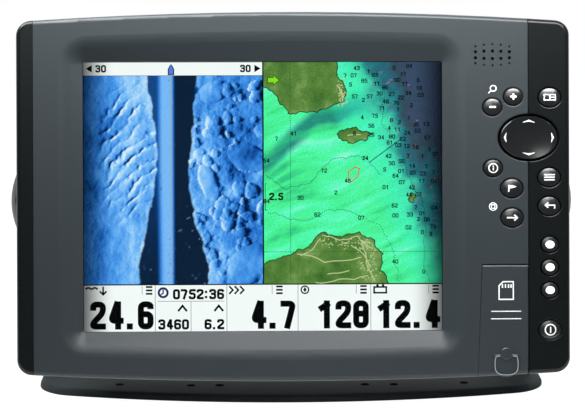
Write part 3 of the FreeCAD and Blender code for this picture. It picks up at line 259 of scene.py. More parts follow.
# ---------------------------------------------------------------- card door and latch
# The door over the memory cards is the bezel's own plastic and hangs on a steel pin.
# A quarter turn of the horseshoe tab at its foot frees it.
finish(bezel_abs, "card_door")
latch_abs = moulded("grey ABS, polished tool", "#2a3033",
                    roughness=0.16, grain=2.5, relief=0.002, drift=0.02, shine=0.9)
finish(latch_abs, "door_latch")


# ---------------------------------------------------------------- screen window
# A flush sheet of clear acrylic bonded behind the opening. Its hard coat keeps it free of
# scratches and takes most of the shine away, so the picture's darks stay dark.
SMEAR = 33
acrylic, tree = new_material("clear cast acrylic, hard coated")
place = add(tree, "TexCoord").outputs["Object"]
smear = add(tree, "TexNoise", {"Vector": place, "Scale": 1 / (SMEAR * MM), "Detail": 3})
haze = add(tree, "MapRange", {"Value": smear.outputs["Fac"], "To Min": 0.0, "To Max": 0.02})
shader = add(tree, "BsdfPrincipled", {
    "Base Color": linear("#fbfdfd"), "Roughness": haze.outputs[0], "IOR": 1.08, "Transmission Weight": 1})
add(tree, "OutputMaterial", {"Surface": shader.outputs[0]})
finish(acrylic, "display_window")

# ---------------------------------------------------------------- liquid crystal panel
# The panel is a dark glass sandwich over an acrylic light guide in a white tray.
# What it shows is drawn just in front of it as thin layers of light, darkened towards its ends by painted
# shade, where the bezel shades the screen.
panel_glass = moulded("black-masked panel glass", "#0b0c0e", roughness=0.12, grain=3, relief=0.001)
finish(panel_glass, "lcd_panel")

SCREEN_X = -18.1
SCREEN_HALF_WIDE, SCREEN_HALF_HIGH = 105.9, 79.5
PICTURE_DEPTH = 10.1
LAYER = 0.06
SCREEN = HEAD @ Matrix.Translation((SCREEN_X * MM, PICTURE_DEPTH * MM, 0))

# The layers that things are drawn on, and how far in from the picture's ends the painted shade darkens it.
PICTURES, THIN_LINES, LAND, SPECKS, LINES, MARKS, FIGURES = 1, 2, 2, 2.7, 3, 4, 5
PAINTED_SHADE_STARTS, PAINTED_SHADE_ENDS = 19, -4
CLOUD = 20


def picture_point(tree):
    """Where a point lies on the screen, in millimetres from its middle."""
    place = add(tree, "TexCoord").outputs["Object"]
    return add(tree, "VectorMath", {0: place, "Scale": 1 / MM}, operation="SCALE").outputs[0]


def picture_light(name, colour_from):
    """A material that gives off a colour, darkened towards each end of the panel by painted shade."""
    made, tree = new_material(name)
    point = picture_point(tree)
    spot = add(tree, "SeparateXYZ", {0: point})
    aside = add(tree, "Math", {0: spot.outputs["X"]}, operation="ABSOLUTE")
    # Painted shade: the light given off falls towards each end, where the bezel shades the screen's edges.
    level = add(tree, "MapRange", {
        "Value": aside.outputs[0], "From Min": SCREEN_HALF_WIDE - PAINTED_SHADE_STARTS,
        "From Max": SCREEN_HALF_WIDE - PAINTED_SHADE_ENDS, "To Min": 1, "To Max": 0.06},
        interpolation_type="SMOOTHSTEP")
    shader = add(tree, "BsdfPrincipled", {
        "Base Color": linear("#000000"), "Roughness": 0.6, "Specular IOR Level": 0,
        "Emission Color": colour_from(tree, point), "Emission Strength": level.outputs[0]})
    add(tree, "OutputMaterial", {"Surface": shader.outputs[0]})
    return made


def plain_light(name, colour):
    """One colour, with the panel's faint unevenness in it."""
    def uneven(tree, point):
        cloud = add(tree, "TexNoise", {"Vector": point, "Scale": 1 / CLOUD, "Detail": 2})
        tone = add(tree, "MapRange", {"Value": cloud.outputs["Fac"], "To Min": 0.97, "To Max": 1.03})
        return add(tree, "HueSaturation", {"Color": linear(colour), "Value": tone.outputs[0]}).outputs[0]
    return picture_light(name, uneven)


def screen_piece(name, bm, material):
    """A part of the picture, which tilts with the head."""
    piece = new_mesh(name, bm, material, SCREEN, smooth=False)
    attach(piece, "head")
    return piece


def patch(bm, left, bottom, right, top, layer):
    """A flat rectangle on the screen; a higher layer lies nearer the viewer."""
    corners = ((left, bottom), (right, bottom), (right, top), (left, top))
    bm.faces.new([bm.verts.new((x, -LAYER * layer, z)) for x, z in corners])


white_light = plain_light("panel light, white", "#f6fcfa")
black_light = plain_light("panel light, black", "#040607")
grey_light = plain_light("panel light, grey", "#9aa5a8")

TITLE_BOTTOM, STRIP_TOP, DIVIDE = 71.8, -51.9, 0.1
bm = bmesh.new()
patch(bm, -SCREEN_HALF_WIDE, TITLE_BOTTOM, DIVIDE, SCREEN_HALF_HIGH, PICTURES)
patch(bm, -SCREEN_HALF_WIDE, -SCREEN_HALF_HIGH, SCREEN_HALF_WIDE, STRIP_TOP, PICTURES)
screen_piece("picture_white_bars", bm, white_light)

bm = bmesh.new()
patch(bm, -SCREEN_HALF_WIDE, STRIP_TOP - 0.3, SCREEN_HALF_WIDE, STRIP_TOP + 0.4, LINES)
patch(bm, DIVIDE - 0.35, STRIP_TOP, DIVIDE + 0.45, SCREEN_HALF_HIGH, LINES)
patch(bm, -SCREEN_HALF_WIDE, TITLE_BOTTOM - 0.25, DIVIDE, TITLE_BOTTOM, LINES)
screen_piece("picture_black_lines", bm, black_light)

CELL_EDGES = (-63.9, -21.6, 20.5, 63.6)
UNIT_EDGES = (-71.6, 5.2, 55.0, 98.0)
UNIT_FOOT = -57.6
CLOCK_FOOT = -61.7
HALF_CELL_EDGE = -42.8
GREY_HALF = 0.2
bm = bmesh.new()
for x in CELL_EDGES:
    patch(bm, x - GREY_HALF, -SCREEN_HALF_HIGH, x + GREY_HALF, STRIP_TOP, THIN_LINES)
for x in UNIT_EDGES:
    patch(bm, x - GREY_HALF, UNIT_FOOT, x + GREY_HALF, STRIP_TOP - 0.6, THIN_LINES)
patch(bm, CELL_EDGES[0] + 1.5, CLOCK_FOOT - GREY_HALF,
      CELL_EDGES[1] - 1.5, CLOCK_FOOT + GREY_HALF, THIN_LINES)
patch(bm, HALF_CELL_EDGE - GREY_HALF, -SCREEN_HALF_HIGH,
      HALF_CELL_EDGE + GREY_HALF, CLOCK_FOOT - GREY_HALF, THIN_LINES)
screen_piece("picture_grey_lines", bm, grey_light)


# ---------------------------------------------------------------- sonar picture
# The left half shows echoes from both sides of the boat. It is worked out as real relief,
# ridges on one bank and boulders on the other, lit from the boat as sound would light it.
def smooth(low, high, given):
    """An easy rise from 0 at low to 1 at high; it falls instead where low is the greater."""
    share = min(max((given - low) / (high - low), 0), 1)
    return share * share * (3 - 2 * share)


def mixed(share, first, second):
    """The colour a share of the way from the first to the second."""
    return [a + (b - a) * share for a, b in zip(first, second)]


def from_scale(level, stops):
    """The colour at a level between 0 and 1 on a scale of (level, colour) stops."""
    for (low, under), (high, over) in zip(stops, stops[1:]):
        if level <= high:
            return mixed(max(level - low, 0) / (high - low), under, over)
    return stops[-1][1]


def scale(*stops):
    """A colour scale from pairs of a level and an sRGB hex colour."""
    return [(level, linear(colour)) for level, colour in stops]


def painted(name, left, bottom, right, top, pitch, colour_at, material):
    """A picture as a fine mesh: every corner takes its colour from a rule of its place."""
    columns, rows = round((right - left) / pitch), round((top - bottom) / pitch)
    bm = bmesh.new()
    tint = bm.verts.layers.float_color.new("tint")
    grid = []
    for row in range(rows + 1):
        z = bottom + (top - bottom) * row / rows
        line = []
        for column in range(columns + 1):
            x = left + (right - left) * column / columns
            corner = bm.verts.new((x, -LAYER * PICTURES, z))
            corner[tint] = colour_at(x, z)
            line.append(corner)
        grid.append(line)
    for below, above in zip(grid, grid[1:]):
        for c in range(columns):
            bm.faces.new((below[c], below[c + 1], above[c + 1], above[c]))
    return screen_piece(name, bm, material)


# The real panel's grain is finer. It is drawn this wide so that it shows.
ECHO_GRAIN = 0.91


def tinted(tree, point):
    """The mesh's own colours with a fine grain over them."""
    tint = add(tree, "Attribute", attribute_name="tint", attribute_type="GEOMETRY")
    grain = add(tree, "TexNoise", {
        "Vector": point, "Scale": 1 / ECHO_GRAIN, "Detail": 2, "Roughness": 0.7})
    tone = add(tree, "MapRange", {
        "Value": grain.outputs["Fac"], "From Min": 0.3, "From Max": 0.7, "To Min": 0.86, "To Max": 1.14})
    return add(tree, "HueSaturation", {"Color": tint.outputs["Color"], "Value": tone.outputs[0]}).outputs[0]


painted_light = picture_light("panel light, painted", tinted)
random.seed(29)
BOAT_X = -54.1
ECHOES = scale((0, "#03183a"), (0.16, "#0a4490"), (0.32, "#2a78d2"), (0.48, "#4a9aec"),
               (0.64, "#74b9f8"), (0.8, "#a4d5fb"), (1, "#d6effd"))
WATER = scale((0, "#0a2038"), (0.12, "#0a2c58"), (0.35, "#1a5dac"),
              (0.6, "#3f8ade"), (0.85, "#68adf2"), (1, "#7abaf7"))

# Each boulder is its middle, its size, how flat it is and which way it lies.
CLUSTERS = ((-22, 50, 15, 60), (-20, -14, 11, 62), (-26, -36, 7, 18), (-37, 20, 5, 12))
SLABS = [(-32, 8, 11, 0.5, 1.9), (-30, 62, 9, 0.7, 0.6), (-10, 24, 12, 0.75, 2.6), (-9, -40, 14, 0.8, 0.4)]
boulders = []
for cluster_x, cluster_z, spread, count in CLUSTERS:
    for _ in range(count):
        size = random.choice((1.3, 1.8, 2.4, 3.2, 4.6))
        boulders.append((random.gauss(cluster_x, spread), random.gauss(cluster_z, spread), size,
                         random.uniform(0.6, 1), random.uniform(0, math.pi)))
boulders += SLABS

# Boulders are looked up by the square of the bottom that they may reach.
SQUARE = 6
near_boulders = {}
for boulder in boulders:
    column, row = int(boulder[0] // SQUARE), int(boulder[1] // SQUARE)
    reach = int(boulder[2] // SQUARE) + 1
    for i in range(column - reach, column + reach + 1):
        for j in range(row - reach, row + reach + 1):
            near_boulders.setdefault((i, j), []).append(boulder)


def rough(x, z, size, seed, octaves=5):
    """Fractal relief, about -1 to 1, with features of a given size in millimetres."""
    return noise.fractal(Vector((x / size, z / size, seed)), 0.85, 2.1, octaves)


def right_relief(x, z):
    """Height of the right bank in millimetres: a rolling bottom with chipped boulders on it."""
    height = 2.6 * rough(x, z, 17, 3.1)
    square = int(x // SQUARE), int(z // SQUARE)
    for centre_x, centre_z, size, squash, turn in near_boulders.get(square, ()):
        along = (x - centre_x) * math.cos(turn) + (z - centre_z) * math.sin(turn)
        across = ((z - centre_z) * math.cos(turn) - (x - centre_x) * math.sin(turn)) / squash
        chipped = 0.5 * rough(x, z, 1.2 * size, centre_x, 3)
        inside = 1 - (along * along + across * across) / size ** 2 + chipped
        if inside > 0:
            height = max(height, 0.62 * min(size, 5) * inside ** 0.75 + 0.3 * rough(x, z, 4, 8.0, 3))
    return height


RIDGES_X, RIDGES_Z = -79, 26


def left_relief(x, z):
    """Height of the left bank in millimetres, with broken ridges about its middle."""
    height = 1.3 * rough(x, z, 15, 6.4)
    ridged = smooth(27, 8, math.hypot(x - RIDGES_X, (z - RIDGES_Z) * 0.55)) * smooth(-100, -88, x)
    across = z * 0.76 - x * 0.65 + 5 * rough(x, z, 22, 2.2, 4)
    broken = 0.35 + smooth(-0.25, 0.35, rough(x, z, 9, 5.7, 3))
    return height + ridged * broken * 3.0 * (1 - abs(math.sin(across * 0.52))) ** 1.3


def water_colour(x, z):
    """Dark water with a few specks, and the pale band under the boat."""
    if random.random() < 0.012 * smooth(30, -40, z) + 0.002:
        return linear(random.choice(("#3b6ea0", "#7fa9cf", "#1f4c7c")))
    band = smooth(-63.5, -57.5, x) * smooth(-51.4, -54.6, x)
    left_water = 0.22 * smooth(-56, -60, x) * smooth(-62, 40, z)
    return from_scale(band * (1 + 0.05 * rough(3, z, 1.3, 1.1, 2)) + left_water, WATER)


# Where the banks end, and how far off a point is felt for the slope and for what hides it.
LEFT_BANK, RIGHT_BANK = -65.2, -40.6
SLOPE_REACH, SHADOW_REACH = 0.8, 2.4


def sonar_colour(x, z):
    """Bank or water, by the place on the picture; the banks' edges are a little soft."""
    left_edge = LEFT_BANK + 2.4 * math.cos((z - 26) / 17) - 7 * smooth(-8, -50, z)
    left_edge += 1.7 * rough(1.5, z, 11, 4.4)
    right_edge = RIGHT_BANK - 2.6 * math.cos((z - 22) / 21) + 6 * smooth(-10, -45, z)
    right_edge += 1.8 * rough(7.5, z, 10, 9.1)
    water = water_colour(x, z)
    if x < left_edge + 0.5:
        facing = left_relief(x, z) - left_relief(x + SLOPE_REACH, z)
        far_corner = smooth(26, 8, math.hypot(x + 98, (z - 46) * 0.7))
        calm = 0.34 + 0.3 * smooth(-106, -76, x) - 0.08 * far_corner + 0.16 * rough(x, z, 20, 1.7, 4)
        streaks = 0.2 * rough(x * 5, z, 16, 5.5, 3) * smooth(-90, -74, x) * smooth(10, -30, z)
        rim = 0.12 * smooth(5, 0, left_edge - x)
        echo = from_scale(calm + streaks + 0.42 * facing + rim, ECHOES)
        return mixed(smooth(left_edge + 0.5, left_edge - 0.6, x), water, echo)
    if x > right_edge - 0.5:
        here = right_relief(x, z)
        facing = here - right_relief(x - SLOPE_REACH, z)
        hidden = smooth(0.5, 1.6, right_relief(x - SHADOW_REACH, z) - here)
        calm = 0.54 - 0.17 * smooth(-38, -8, x) + 0.3 * rough(x, z, 26, 2.9, 3)
        rim = 0.12 * smooth(4, 0, x - right_edge)
        echo = from_scale(calm + 0.36 * facing - 0.24 * hidden + rim, ECHOES)
        return mixed(smooth(right_edge - 0.5, right_edge + 0.6, x), water, echo)
    return water


SONAR_PITCH = 0.6
painted("picture_sonar", -SCREEN_HALF_WIDE, STRIP_TOP, DIVIDE, TITLE_BOTTOM,
        SONAR_PITCH, sonar_colour, painted_light)

TRACK_LINE = 0.25
bm = bmesh.new()
for x in (BOAT_X - 0.55, BOAT_X + 0.1):
    patch(bm, x, STRIP_TOP, x + TRACK_LINE, TITLE_BOTTOM, THIN_LINES)
screen_piece("picture_track_lines", bm, grey_light)


# ---------------------------------------------------------------- chart picture
# The right half is a made-up sea chart: bright shallows streaked by currents, a deep
# that darkens to slate, and green land with a drawn shore.
def in_place(layer):
    """Lays flat drawing on the screen; a higher layer lies nearer the viewer."""
    return lambda x, z: (x, -LAYER * layer, z)


def band(bm, points, wide, put, closed=False):
    """A line of the given width through the points, laid on a surface by put."""
    last = len(points) - 1
    rims = []
    for i, point in enumerate(points):
        here = Vector(point)
        come = here - Vector(points[i - 1]) if i or closed else Vector(points[1]) - here
        leave = Vector(points[(i + 1) % (last + 1)]) - here if i < last or closed else come
        run = (come.normalized() + leave.normalized()).normalized()
        off = Vector((-run.y, run.x)) * wide / 2 / max(run.dot(leave.normalized()), 0.5)
        rims.append([bm.verts.new(put(*(here + off))), bm.verts.new(put(*(here - off)))])
    for (a, b), (c, d) in zip(rims, rims[1:] + rims[:1] if closed else rims[1:]):
        bm.faces.new((a, b, d, c))


def filled(bm, points, put):
    """A flat shape; its points run the left-hand way round."""
    bm.faces.new([bm.verts.new(put(x, z)) for x, z in points])


def ring(x, z, wide, high=None, corners=28):
    """Points of an oval round x, z, as high as it is wide unless a height is given."""
    high = high or wide
    turns = [2 * math.pi * i / corners for i in range(corners)]
    return [(x + wide / 2 * math.cos(t), z + high / 2 * math.sin(t)) for t in turns]


def wander(points, sway, rounds=4):
    """A shore: every stretch between two points is bent at its middle, over and over."""
    for _ in range(rounds):
        bent = []
        for (x, z), (next_x, next_z) in zip(points, points[1:]):
            push = random.uniform(-sway, sway)
            middle_x = (x + next_x) / 2 - (next_z - z) * push
            middle_z = (z + next_z) / 2 + (next_x - x) * push
            bent += [(x, z), (middle_x, middle_z)]
        points = bent + [points[-1]]
    return points


SHALLOWS = scale((0, "#1f9a76"), (0.22, "#36c886"), (0.4, "#46ee90"),
                 (0.62, "#50f9a6"), (0.8, "#5efbc0"), (1, "#94fcd2"))
DEEPS = scale((0, "#48d6b0"), (0.3, "#2a8f8c"), (0.55, "#296878"), (0.8, "#354a58"), (1, "#3a4d68"))


# The way the current runs, the streaks it draws out, and the height that the shelf is set from.
CURRENT_X, CURRENT_Z = 0.94, 0.34
STREAK_LONG, STREAK_WIDE = 36, 7
SHELF_TOP = 79


def chart_colour(x, z):
    """Shallows, a channel winding out of them and the deep it leads to."""
    along = x * CURRENT_X + z * CURRENT_Z
    across = z * CURRENT_X - x * CURRENT_Z + 5 * rough(x, z, 45, 1.2, 2)
    streaks = noise.fractal(Vector((along / STREAK_LONG, across / STREAK_WIDE, 7)), 0.75, 2.3, 5)
    water = from_scale(0.55 + 0.42 * streaks + 0.2 * rough(x, z, 34, 3.8, 3), SHALLOWS)
    channel_z = 18 + x - 0.0068 * x * x + 4 * rough(x, 1.0, 20, 4.1, 3)
    in_channel = smooth(10, 1.5, abs(z - channel_z)) * smooth(92, 70, x) * (0.85 + 0.5 * streaks)
    water = mixed(min(max(in_channel, 0), 0.9), water, linear("#1b7d76"))
    shelf = 59 + (SHELF_TOP - z) * 0.42 + 11 * rough(x, z, 26, 6.6, 6)
    deep = smooth(shelf - 9, shelf + 27, x)
    water = mixed(0.5 * smooth(shelf - 34, shelf - 6, x), water, linear("#3cf0cc"))
    deep_water = from_scale(deep + 0.14 * rough(x, z, 8, 5.2, 5), DEEPS)
    return mixed(smooth(shelf - 11, shelf + 4, x), water, deep_water)


random.seed(17)
CHART_PITCH = 0.9
EDGE, FOOT, TOP = DIVIDE + 0.4, STRIP_TOP + 0.4, SCREEN_HALF_HIGH
painted("picture_chart", EDGE, STRIP_TOP, SCREEN_HALF_WIDE, TOP, CHART_PITCH, chart_colour, painted_light)

NORTH_SHORE = [(EDGE, 65), (6, 62), (10, 55), (15, 49), (24, 50), (32, 49.5),
               (40, 53), (48, 56), (49, 64), (44, 71), (44, TOP)]
SOUTH_SHORE = [(74, FOOT), (69, -44), (71, -34), (66, -26), (57, -21),
               (47, -24), (36, -21), (27, -30), (14, -35), (EDGE, -40)]
ISLET = [(51, 40), (44, 37), (47, 33), (54, 31.5), (61, 33), (65, 37), (59, 38), (55, 41), (51, 40)]
CAY = [(88, 2), (86, -2), (89, -4), (90.5, 0), (88, 2)]
LEADING_LINE = [(63, 20), (82, 34)]
north_shore = wander(NORTH_SHORE, 0.16)
south_shore = wander(SOUTH_SHORE, 0.16)
islet = wander(ISLET, 0.22)
cay = wander(CAY, 0.25, 3)
SCRUB, TUFT = 18.2, 1.11
GROUND = ((0.34, "#3d6a2c"), (0.44, "#4f7c36"), (0.52, "#5b853c"), (0.6, "#739953"), (0.68, "#94b26c"))


def land_tones(tree, point):
    """Woods, scrub and bare ground, under fine tufts."""
    cover = add(tree, "TexNoise", {"Vector": point, "Scale": 1 / SCRUB, "Detail": 6, "Roughness": 0.62})
    ground = add(tree, "ValToRGB", {0: cover.outputs["Fac"]})
    for position, colour in GROUND:
        ground.color_ramp.elements.new(position).color = linear(colour)
    ground.color_ramp.elements.remove(ground.color_ramp.elements[-1])
    ground.color_ramp.elements.remove(ground.color_ramp.elements[0])
    tufts = add(tree, "TexNoise", {"Vector": point, "Scale": 1 / TUFT, "Detail": 3, "Roughness": 0.8})
    tone = add(tree, "MapRange", {
        "Value": tufts.outputs["Fac"], "From Min": 0.3, "From Max": 0.7, "To Min": 0.78, "To Max": 1.28})
    return add(tree, "HueSaturation", {"Color": ground.outputs["Color"], "Value": tone.outputs[0]}).outputs[0]


land_light = picture_light("panel light, land", land_tones)
bm = bmesh.new()
for land in ([(EDGE, TOP)] + north_shore, [(EDGE, FOOT)] + south_shore, islet[:-1], cay[:-1]):
    filled(bm, land, in_place(LAND))
screen_piece("picture_land", bm, land_light)

SHORE_LINE, TRACK = 0.5, 0.55
CLEARINGS = 190
bm = bmesh.new()
for shore in (north_shore, south_shore, islet, cay, LEADING_LINE):
    band(bm, shore, SHORE_LINE, in_place(LINES))
screen_piece("picture_shores", bm, plain_light("panel light, dark green", "#173018"))

TRACKS = ([(31, -51), (45, -49), (62, -47)], [(58, -26), (61, -36), (66, -50)],
          [(20, -34), (36, -39), (58, -36)], [(44, 66), (48, 58)], [(50, 36), (58, 36.5)],
          [(35, -23), (45, -26), (56, -23.5), (65, -31)], [(22, -35), (29, -31.5), (34, -25)],
          [(52, -29), (58, -33), (63, -42)], [(38, -46), (51, -44)])
bm = bmesh.new()
for track in TRACKS:
    band(bm, wander(track, 0.08, 2), TRACK, in_place(LINES))
for _ in range(CLEARINGS):
    x, z = random.choice((
        (random.gauss(62, 3), random.uniform(-50, -27)),
        (random.uniform(34, 64), random.gauss(-27, 2)),
        (random.gauss(47, 1.4), random.gauss(60, 4))))
    clearing = ring(x, z, random.uniform(0.5, 1.3), random.uniform(0.5, 1.1), corners=5)
    filled(bm, clearing, in_place(SPECKS))
screen_piece("picture_tracks", bm, plain_light("panel light, pale sand", "#c3cf98"))


def dot(bm, x, z, size, put):
    """A small square whose lower left corner is at x, z."""
    filled(bm, [(x, z), (x + size, z), (x + size, z + size), (x, z + size)], put)


def fine(points, pace):
    """The same line with more points on it, about a pace apart."""
    closer = []
    for (x, z), (next_x, next_z) in zip(points, points[1:]):
        steps = max(round(math.hypot(next_x - x, next_z - z) / pace), 1)
        closer += [(x + (next_x - x) * i / steps, z + (next_z - z) * i / steps) for i in range(steps)]
    return closer + [points[-1]]


GRID_LINES = ([(16, TOP - 1), (16, FOOT)], [(EDGE, -33), (105, -33)])
DOT_GAP, DOT = 1.3, 0.5
bm = bmesh.new()
for line in (*GRID_LINES,
             wander([(2, 12), (14, 4), (30, 10), (42, 22), (56, 24), (70, 12)], 0.15),
             wander([(3, -10), (20, -14), (40, -8), (58, -12), (76, -30), (80, FOOT)], 0.15),
             wander([(60, 76), (72, 60), (70, 44), (84, 22), (96, -10), (98, FOOT)], 0.12)):
    for x, z in fine(line, DOT_GAP)[:-1]:
        dot(bm, x, z, DOT, in_place(MARKS))
screen_piece("picture_dotted_lines", bm, plain_light("panel light, deep green", "#0f3a30"))


# ---------------------------------------------------------------- figures and signs on the screen
# Plain numbers and small signs in black, drawn as bands: broad upright figures in the data
# strip, smaller ones for the time and the ranges. A stroke's points lie on a square of side 1.
DIGITS = {
    "0": [[(0, 0.5), (0, 0), (1, 0), (1, 1), (0, 1), (0, 0.5)]],
    "1": [[(0.62, 0), (0.62, 1)], [(0.1, 0.8), (0.62, 0.95)]],
    "2": [[(0, 0.86), (0, 1), (1, 1), (1, 0.62), (0, 0.16), (0, 0), (1, 0)]],
    "3": [[(0, 0.88), (0, 1), (1, 1), (1, 0.54), (0.4, 0.54)],
          [(0.4, 0.54), (1, 0.54), (1, 0), (0, 0), (0, 0.12)]],
    "4": [[(0.74, 0), (0.74, 1)], [(1, 0.26), (0, 0.26), (0.6, 1)]],
    "5": [[(1, 1), (0.04, 1), (0.04, 0.57), (1, 0.57), (1, 0), (0, 0), (0, 0.12)]],
    "6": [[(1, 0.92), (1, 1), (0, 1), (0, 0), (1, 0), (1, 0.55), (0, 0.55)]],
    "7": [[(0, 1), (1, 1), (0.42, 0)]],
    "8": [[(0, 0.5), (0, 0), (1, 0), (1, 1), (0, 1), (0, 0.5)], [(0, 0.53), (1, 0.53)]],
}


def softened(points, radius):
    """The same line with its corners rounded off."""
    eased = [points[0]]
    for before, corner, after in zip(points, points[1:], points[2:]):
        corner = Vector(corner)
        arms = [Vector(end) - corner for end in (before, after)]
        start, end = [corner + arm.normalized() * min(radius, arm.length * 0.45) for arm in arms]
        for t in (0, 0.2, 0.4, 0.6, 0.8, 1):
            eased.append(tuple(start.lerp(corner, t).lerp(corner.lerp(end, t), t)))
    return eased + [points[-1]]


# Gaps as shares of a stroke: between figures, and before and after a point.
FIGURE_GAP, GAP_BEFORE_POINT, GAP_AFTER_POINT = 0.32, 0.5, 1.5
DOT_LIFTS = {".": (0,), ":": (0.1, 0.6)}


def figures(bm, text, right, foot, wide, high, stroke, put):
    """A number whose last figure ends at right; the strokes are bands of even width."""
    for mark in reversed(text):
        if mark in DOT_LIFTS:
            right -= stroke * GAP_AFTER_POINT
            for lift in DOT_LIFTS[mark]:
                dot(bm, right, foot + lift * high, stroke, put)
            right -= stroke * GAP_BEFORE_POINT
            continue
        left = right - wide
        across, up = wide - stroke, high - stroke
        for line in DIGITS[mark]:
            line = [(left + stroke / 2 + x * across, foot + stroke / 2 + z * up) for x, z in line]
            for end, inner in ((0, 1), (-1, -2)):
                out = (Vector(line[end]) - Vector(line[inner])).normalized() * stroke / 2
                line[end] = tuple(Vector(line[end]) + out)
            band(bm, softened(line, min(0.8 * stroke, 0.45 * across)), stroke, put)
        right = left - stroke * FIGURE_GAP


ON_TOP = in_place(FIGURES)
BIG = dict(foot=-78.2, wide=9.3, high=16.6, stroke=3.6, put=ON_TOP)
SMALL = dict(wide=4.2, high=6.1, stroke=1.4, put=ON_TOP)
RANGE = dict(wide=3.0, high=4.4, stroke=1.0, put=ON_TOP)
bm = bmesh.new()
for text, right in (("24.6", -64.9), ("4.7", 19.4), ("128", 62.4), ("12.4", 104.8)):
    figures(bm, text, right, **BIG)
for text, right, foot in (("0752:36", -23.2, -60.6), ("3460", -44.0, -78.4), ("6.2", -23.2, -78.4)):
    figures(bm, text, right, foot, **SMALL)
for text, right, foot in (("30", -92.4, 73.6), ("30", -7.0, 73.6), ("2.5", 12.0, -2.2)):
    figures(bm, text, right, foot, **RANGE)

# The bracket beside the chart's scale, and an arrowhead at each end of the sonar's.
band(bm, [(2.3, 7.6), (1.3, 7.6), (1.3, -8.0), (2.3, -8.0)], 0.35, ON_TOP)
filled(bm, [(-104.4, 75.8), (-100.8, 73.6), (-100.8, 78.0)], ON_TOP)
filled(bm, [(-4.8, 78.0), (-4.8, 73.6), (-1.2, 75.8)], ON_TOP)

# Signs in the strip: a wave and a downward arrow, three arrowheads, a ring with a needle,
# a battery, three bars where each unit would stand, and a caret in each small field.
SIGN_LINE, THICK_LINE = 1.0, 1.1
WAVE = [(-105.0, -54.4), (-103.3, -53.2), (-101.4, -54.6), (-99.5, -53.2), (-97.8, -54.4)]
band(bm, softened(WAVE, 1), SIGN_LINE, ON_TOP)
band(bm, [(-94.6, -52.8), (-94.6, -57.2)], SIGN_LINE, ON_TOP)
band(bm, [(-96.6, -55.6), (-94.6, -57.6), (-92.6, -55.6)], SIGN_LINE, ON_TOP)
for x in (-20.2, -17.0, -13.8):
    band(bm, [(x, -57.5), (x + 2.2, -55.2), (x, -52.9)], SIGN_LINE, ON_TOP)
band(bm, ring(24.6, -55.2, 4.4), 0.8, ON_TOP, closed=True)
filled(bm, [(24.6, -56.8), (25.6, -55.2), (24.6, -53.4), (23.6, -55.2)], ON_TOP)
BATTERY = [(65.6, -57.2), (72.8, -57.2), (72.8, -53.8), (65.6, -53.8), (65.6, -57.7)]
band(bm, BATTERY, SIGN_LINE, ON_TOP)
for x in (66.9, 70.2):
    band(bm, [(x, -52.8), (x + 1.4, -52.8)], THICK_LINE, ON_TOP)
for x in (-69.4, 7.6, 57.4, 100.2):
    for z in (-57.2, -55.2, -53.2):
        band(bm, [(x, z), (x + 3.8, z)], THICK_LINE, ON_TOP)
for x in (-50.4, -29.0):
    band(bm, [(x, -67.6), (x + 2.6, -64.4), (x + 5.2, -67.6)], 1.2, ON_TOP)
screen_piece("picture_figures", bm, black_light)

CLOCK_X, CLOCK_Z = -59.2, -56.6
bm = bmesh.new()
band(bm, ring(CLOCK_X, CLOCK_Z, 5.2), 1.3, ON_TOP, closed=True)
hands = ((0, 1.8), (0, -0.3), (-1.4, -1.1))
band(bm, [(CLOCK_X + x, CLOCK_Z + z) for x, z in hands], 0.8, ON_TOP)
screen_piece("picture_clock", bm, plain_light("panel light, navy", "#20205e"))

HULL = ((-1.9, 0.2), (1.9, 0.2), (1.9, 3.6), (0.9, 5.6), (0, 6.7), (-0.9, 5.6), (-1.9, 3.6))
HULL_MIDDLE = 3.1
bm = bmesh.new()
filled(bm, [(BOAT_X + x, TITLE_BOTTOM + z) for x, z in HULL], in_place(LINES))
screen_piece("picture_boat_outline", bm, black_light)
deck = [(x * 0.68, HULL_MIDDLE + (z - HULL_MIDDLE) * 0.8) for x, z in HULL]
bm = bmesh.new()
filled(bm, [(BOAT_X + x, TITLE_BOTTOM + z) for x, z in deck], in_place(MARKS))
screen_piece("picture_boat", bm, plain_light("panel light, blue", "#4f7fe0"))


# Soundings crowd along the edge of the deep, with a few out on the shallows.
def by_the_deep(z, top_x):
    """The x of a line beside the edge of the deep, which is at top_x near the chart's top."""
    return top_x + (SHELF_TOP - z) * 0.36


def scattered(bm, count, lowest, top_x, drift, wide, high):
    """Lozenges strewn beside the edge of the deep; drift is their mean and spread across it."""
    for _ in range(count):
        z = random.uniform(lowest, HIGHEST)
        x = min(by_the_deep(z, top_x) + random.gauss(*drift), LAST_X)
        filled(bm, ring(x, z, wide, high, corners=4), in_place(MARKS))


random.seed(5)
SOUNDING = dict(wide=1.75, high=2.5, stroke=0.5, put=ON_TOP)
SOUNDING_GAP = 5
SOUNDINGS_TRIED = 240
LAST_X, HIGHEST = 102, 76
spots = [(4, 20), (9, 33), (20, 36), (38, 14), (44, 1), (24, -2), (52, 8), (80, -40),
         (60, -14), (34, -12), (96, -46), (4, -4)]
for _ in range(SOUNDINGS_TRIED):
    z = random.uniform(-24, HIGHEST)
    spots.append((by_the_deep(z, 64) + random.gauss(4, 12), z))
kept = []
bm = bmesh.new()
for x, z in spots:
    gaps = [math.hypot(x - other_x, (z - other_z) * 1.4) for other_x, other_z in kept]
    if x < LAST_X + 2 and all(gap > SOUNDING_GAP for gap in gaps):
        kept.append((x, z))
        sounding = "".join(random.choice("0123456784") for _ in range(random.choice((1, 2, 2))))
        figures(bm, sounding, x, z, **SOUNDING)
screen_piece("picture_soundings", bm, plain_light("panel light, ink", "#031012"))

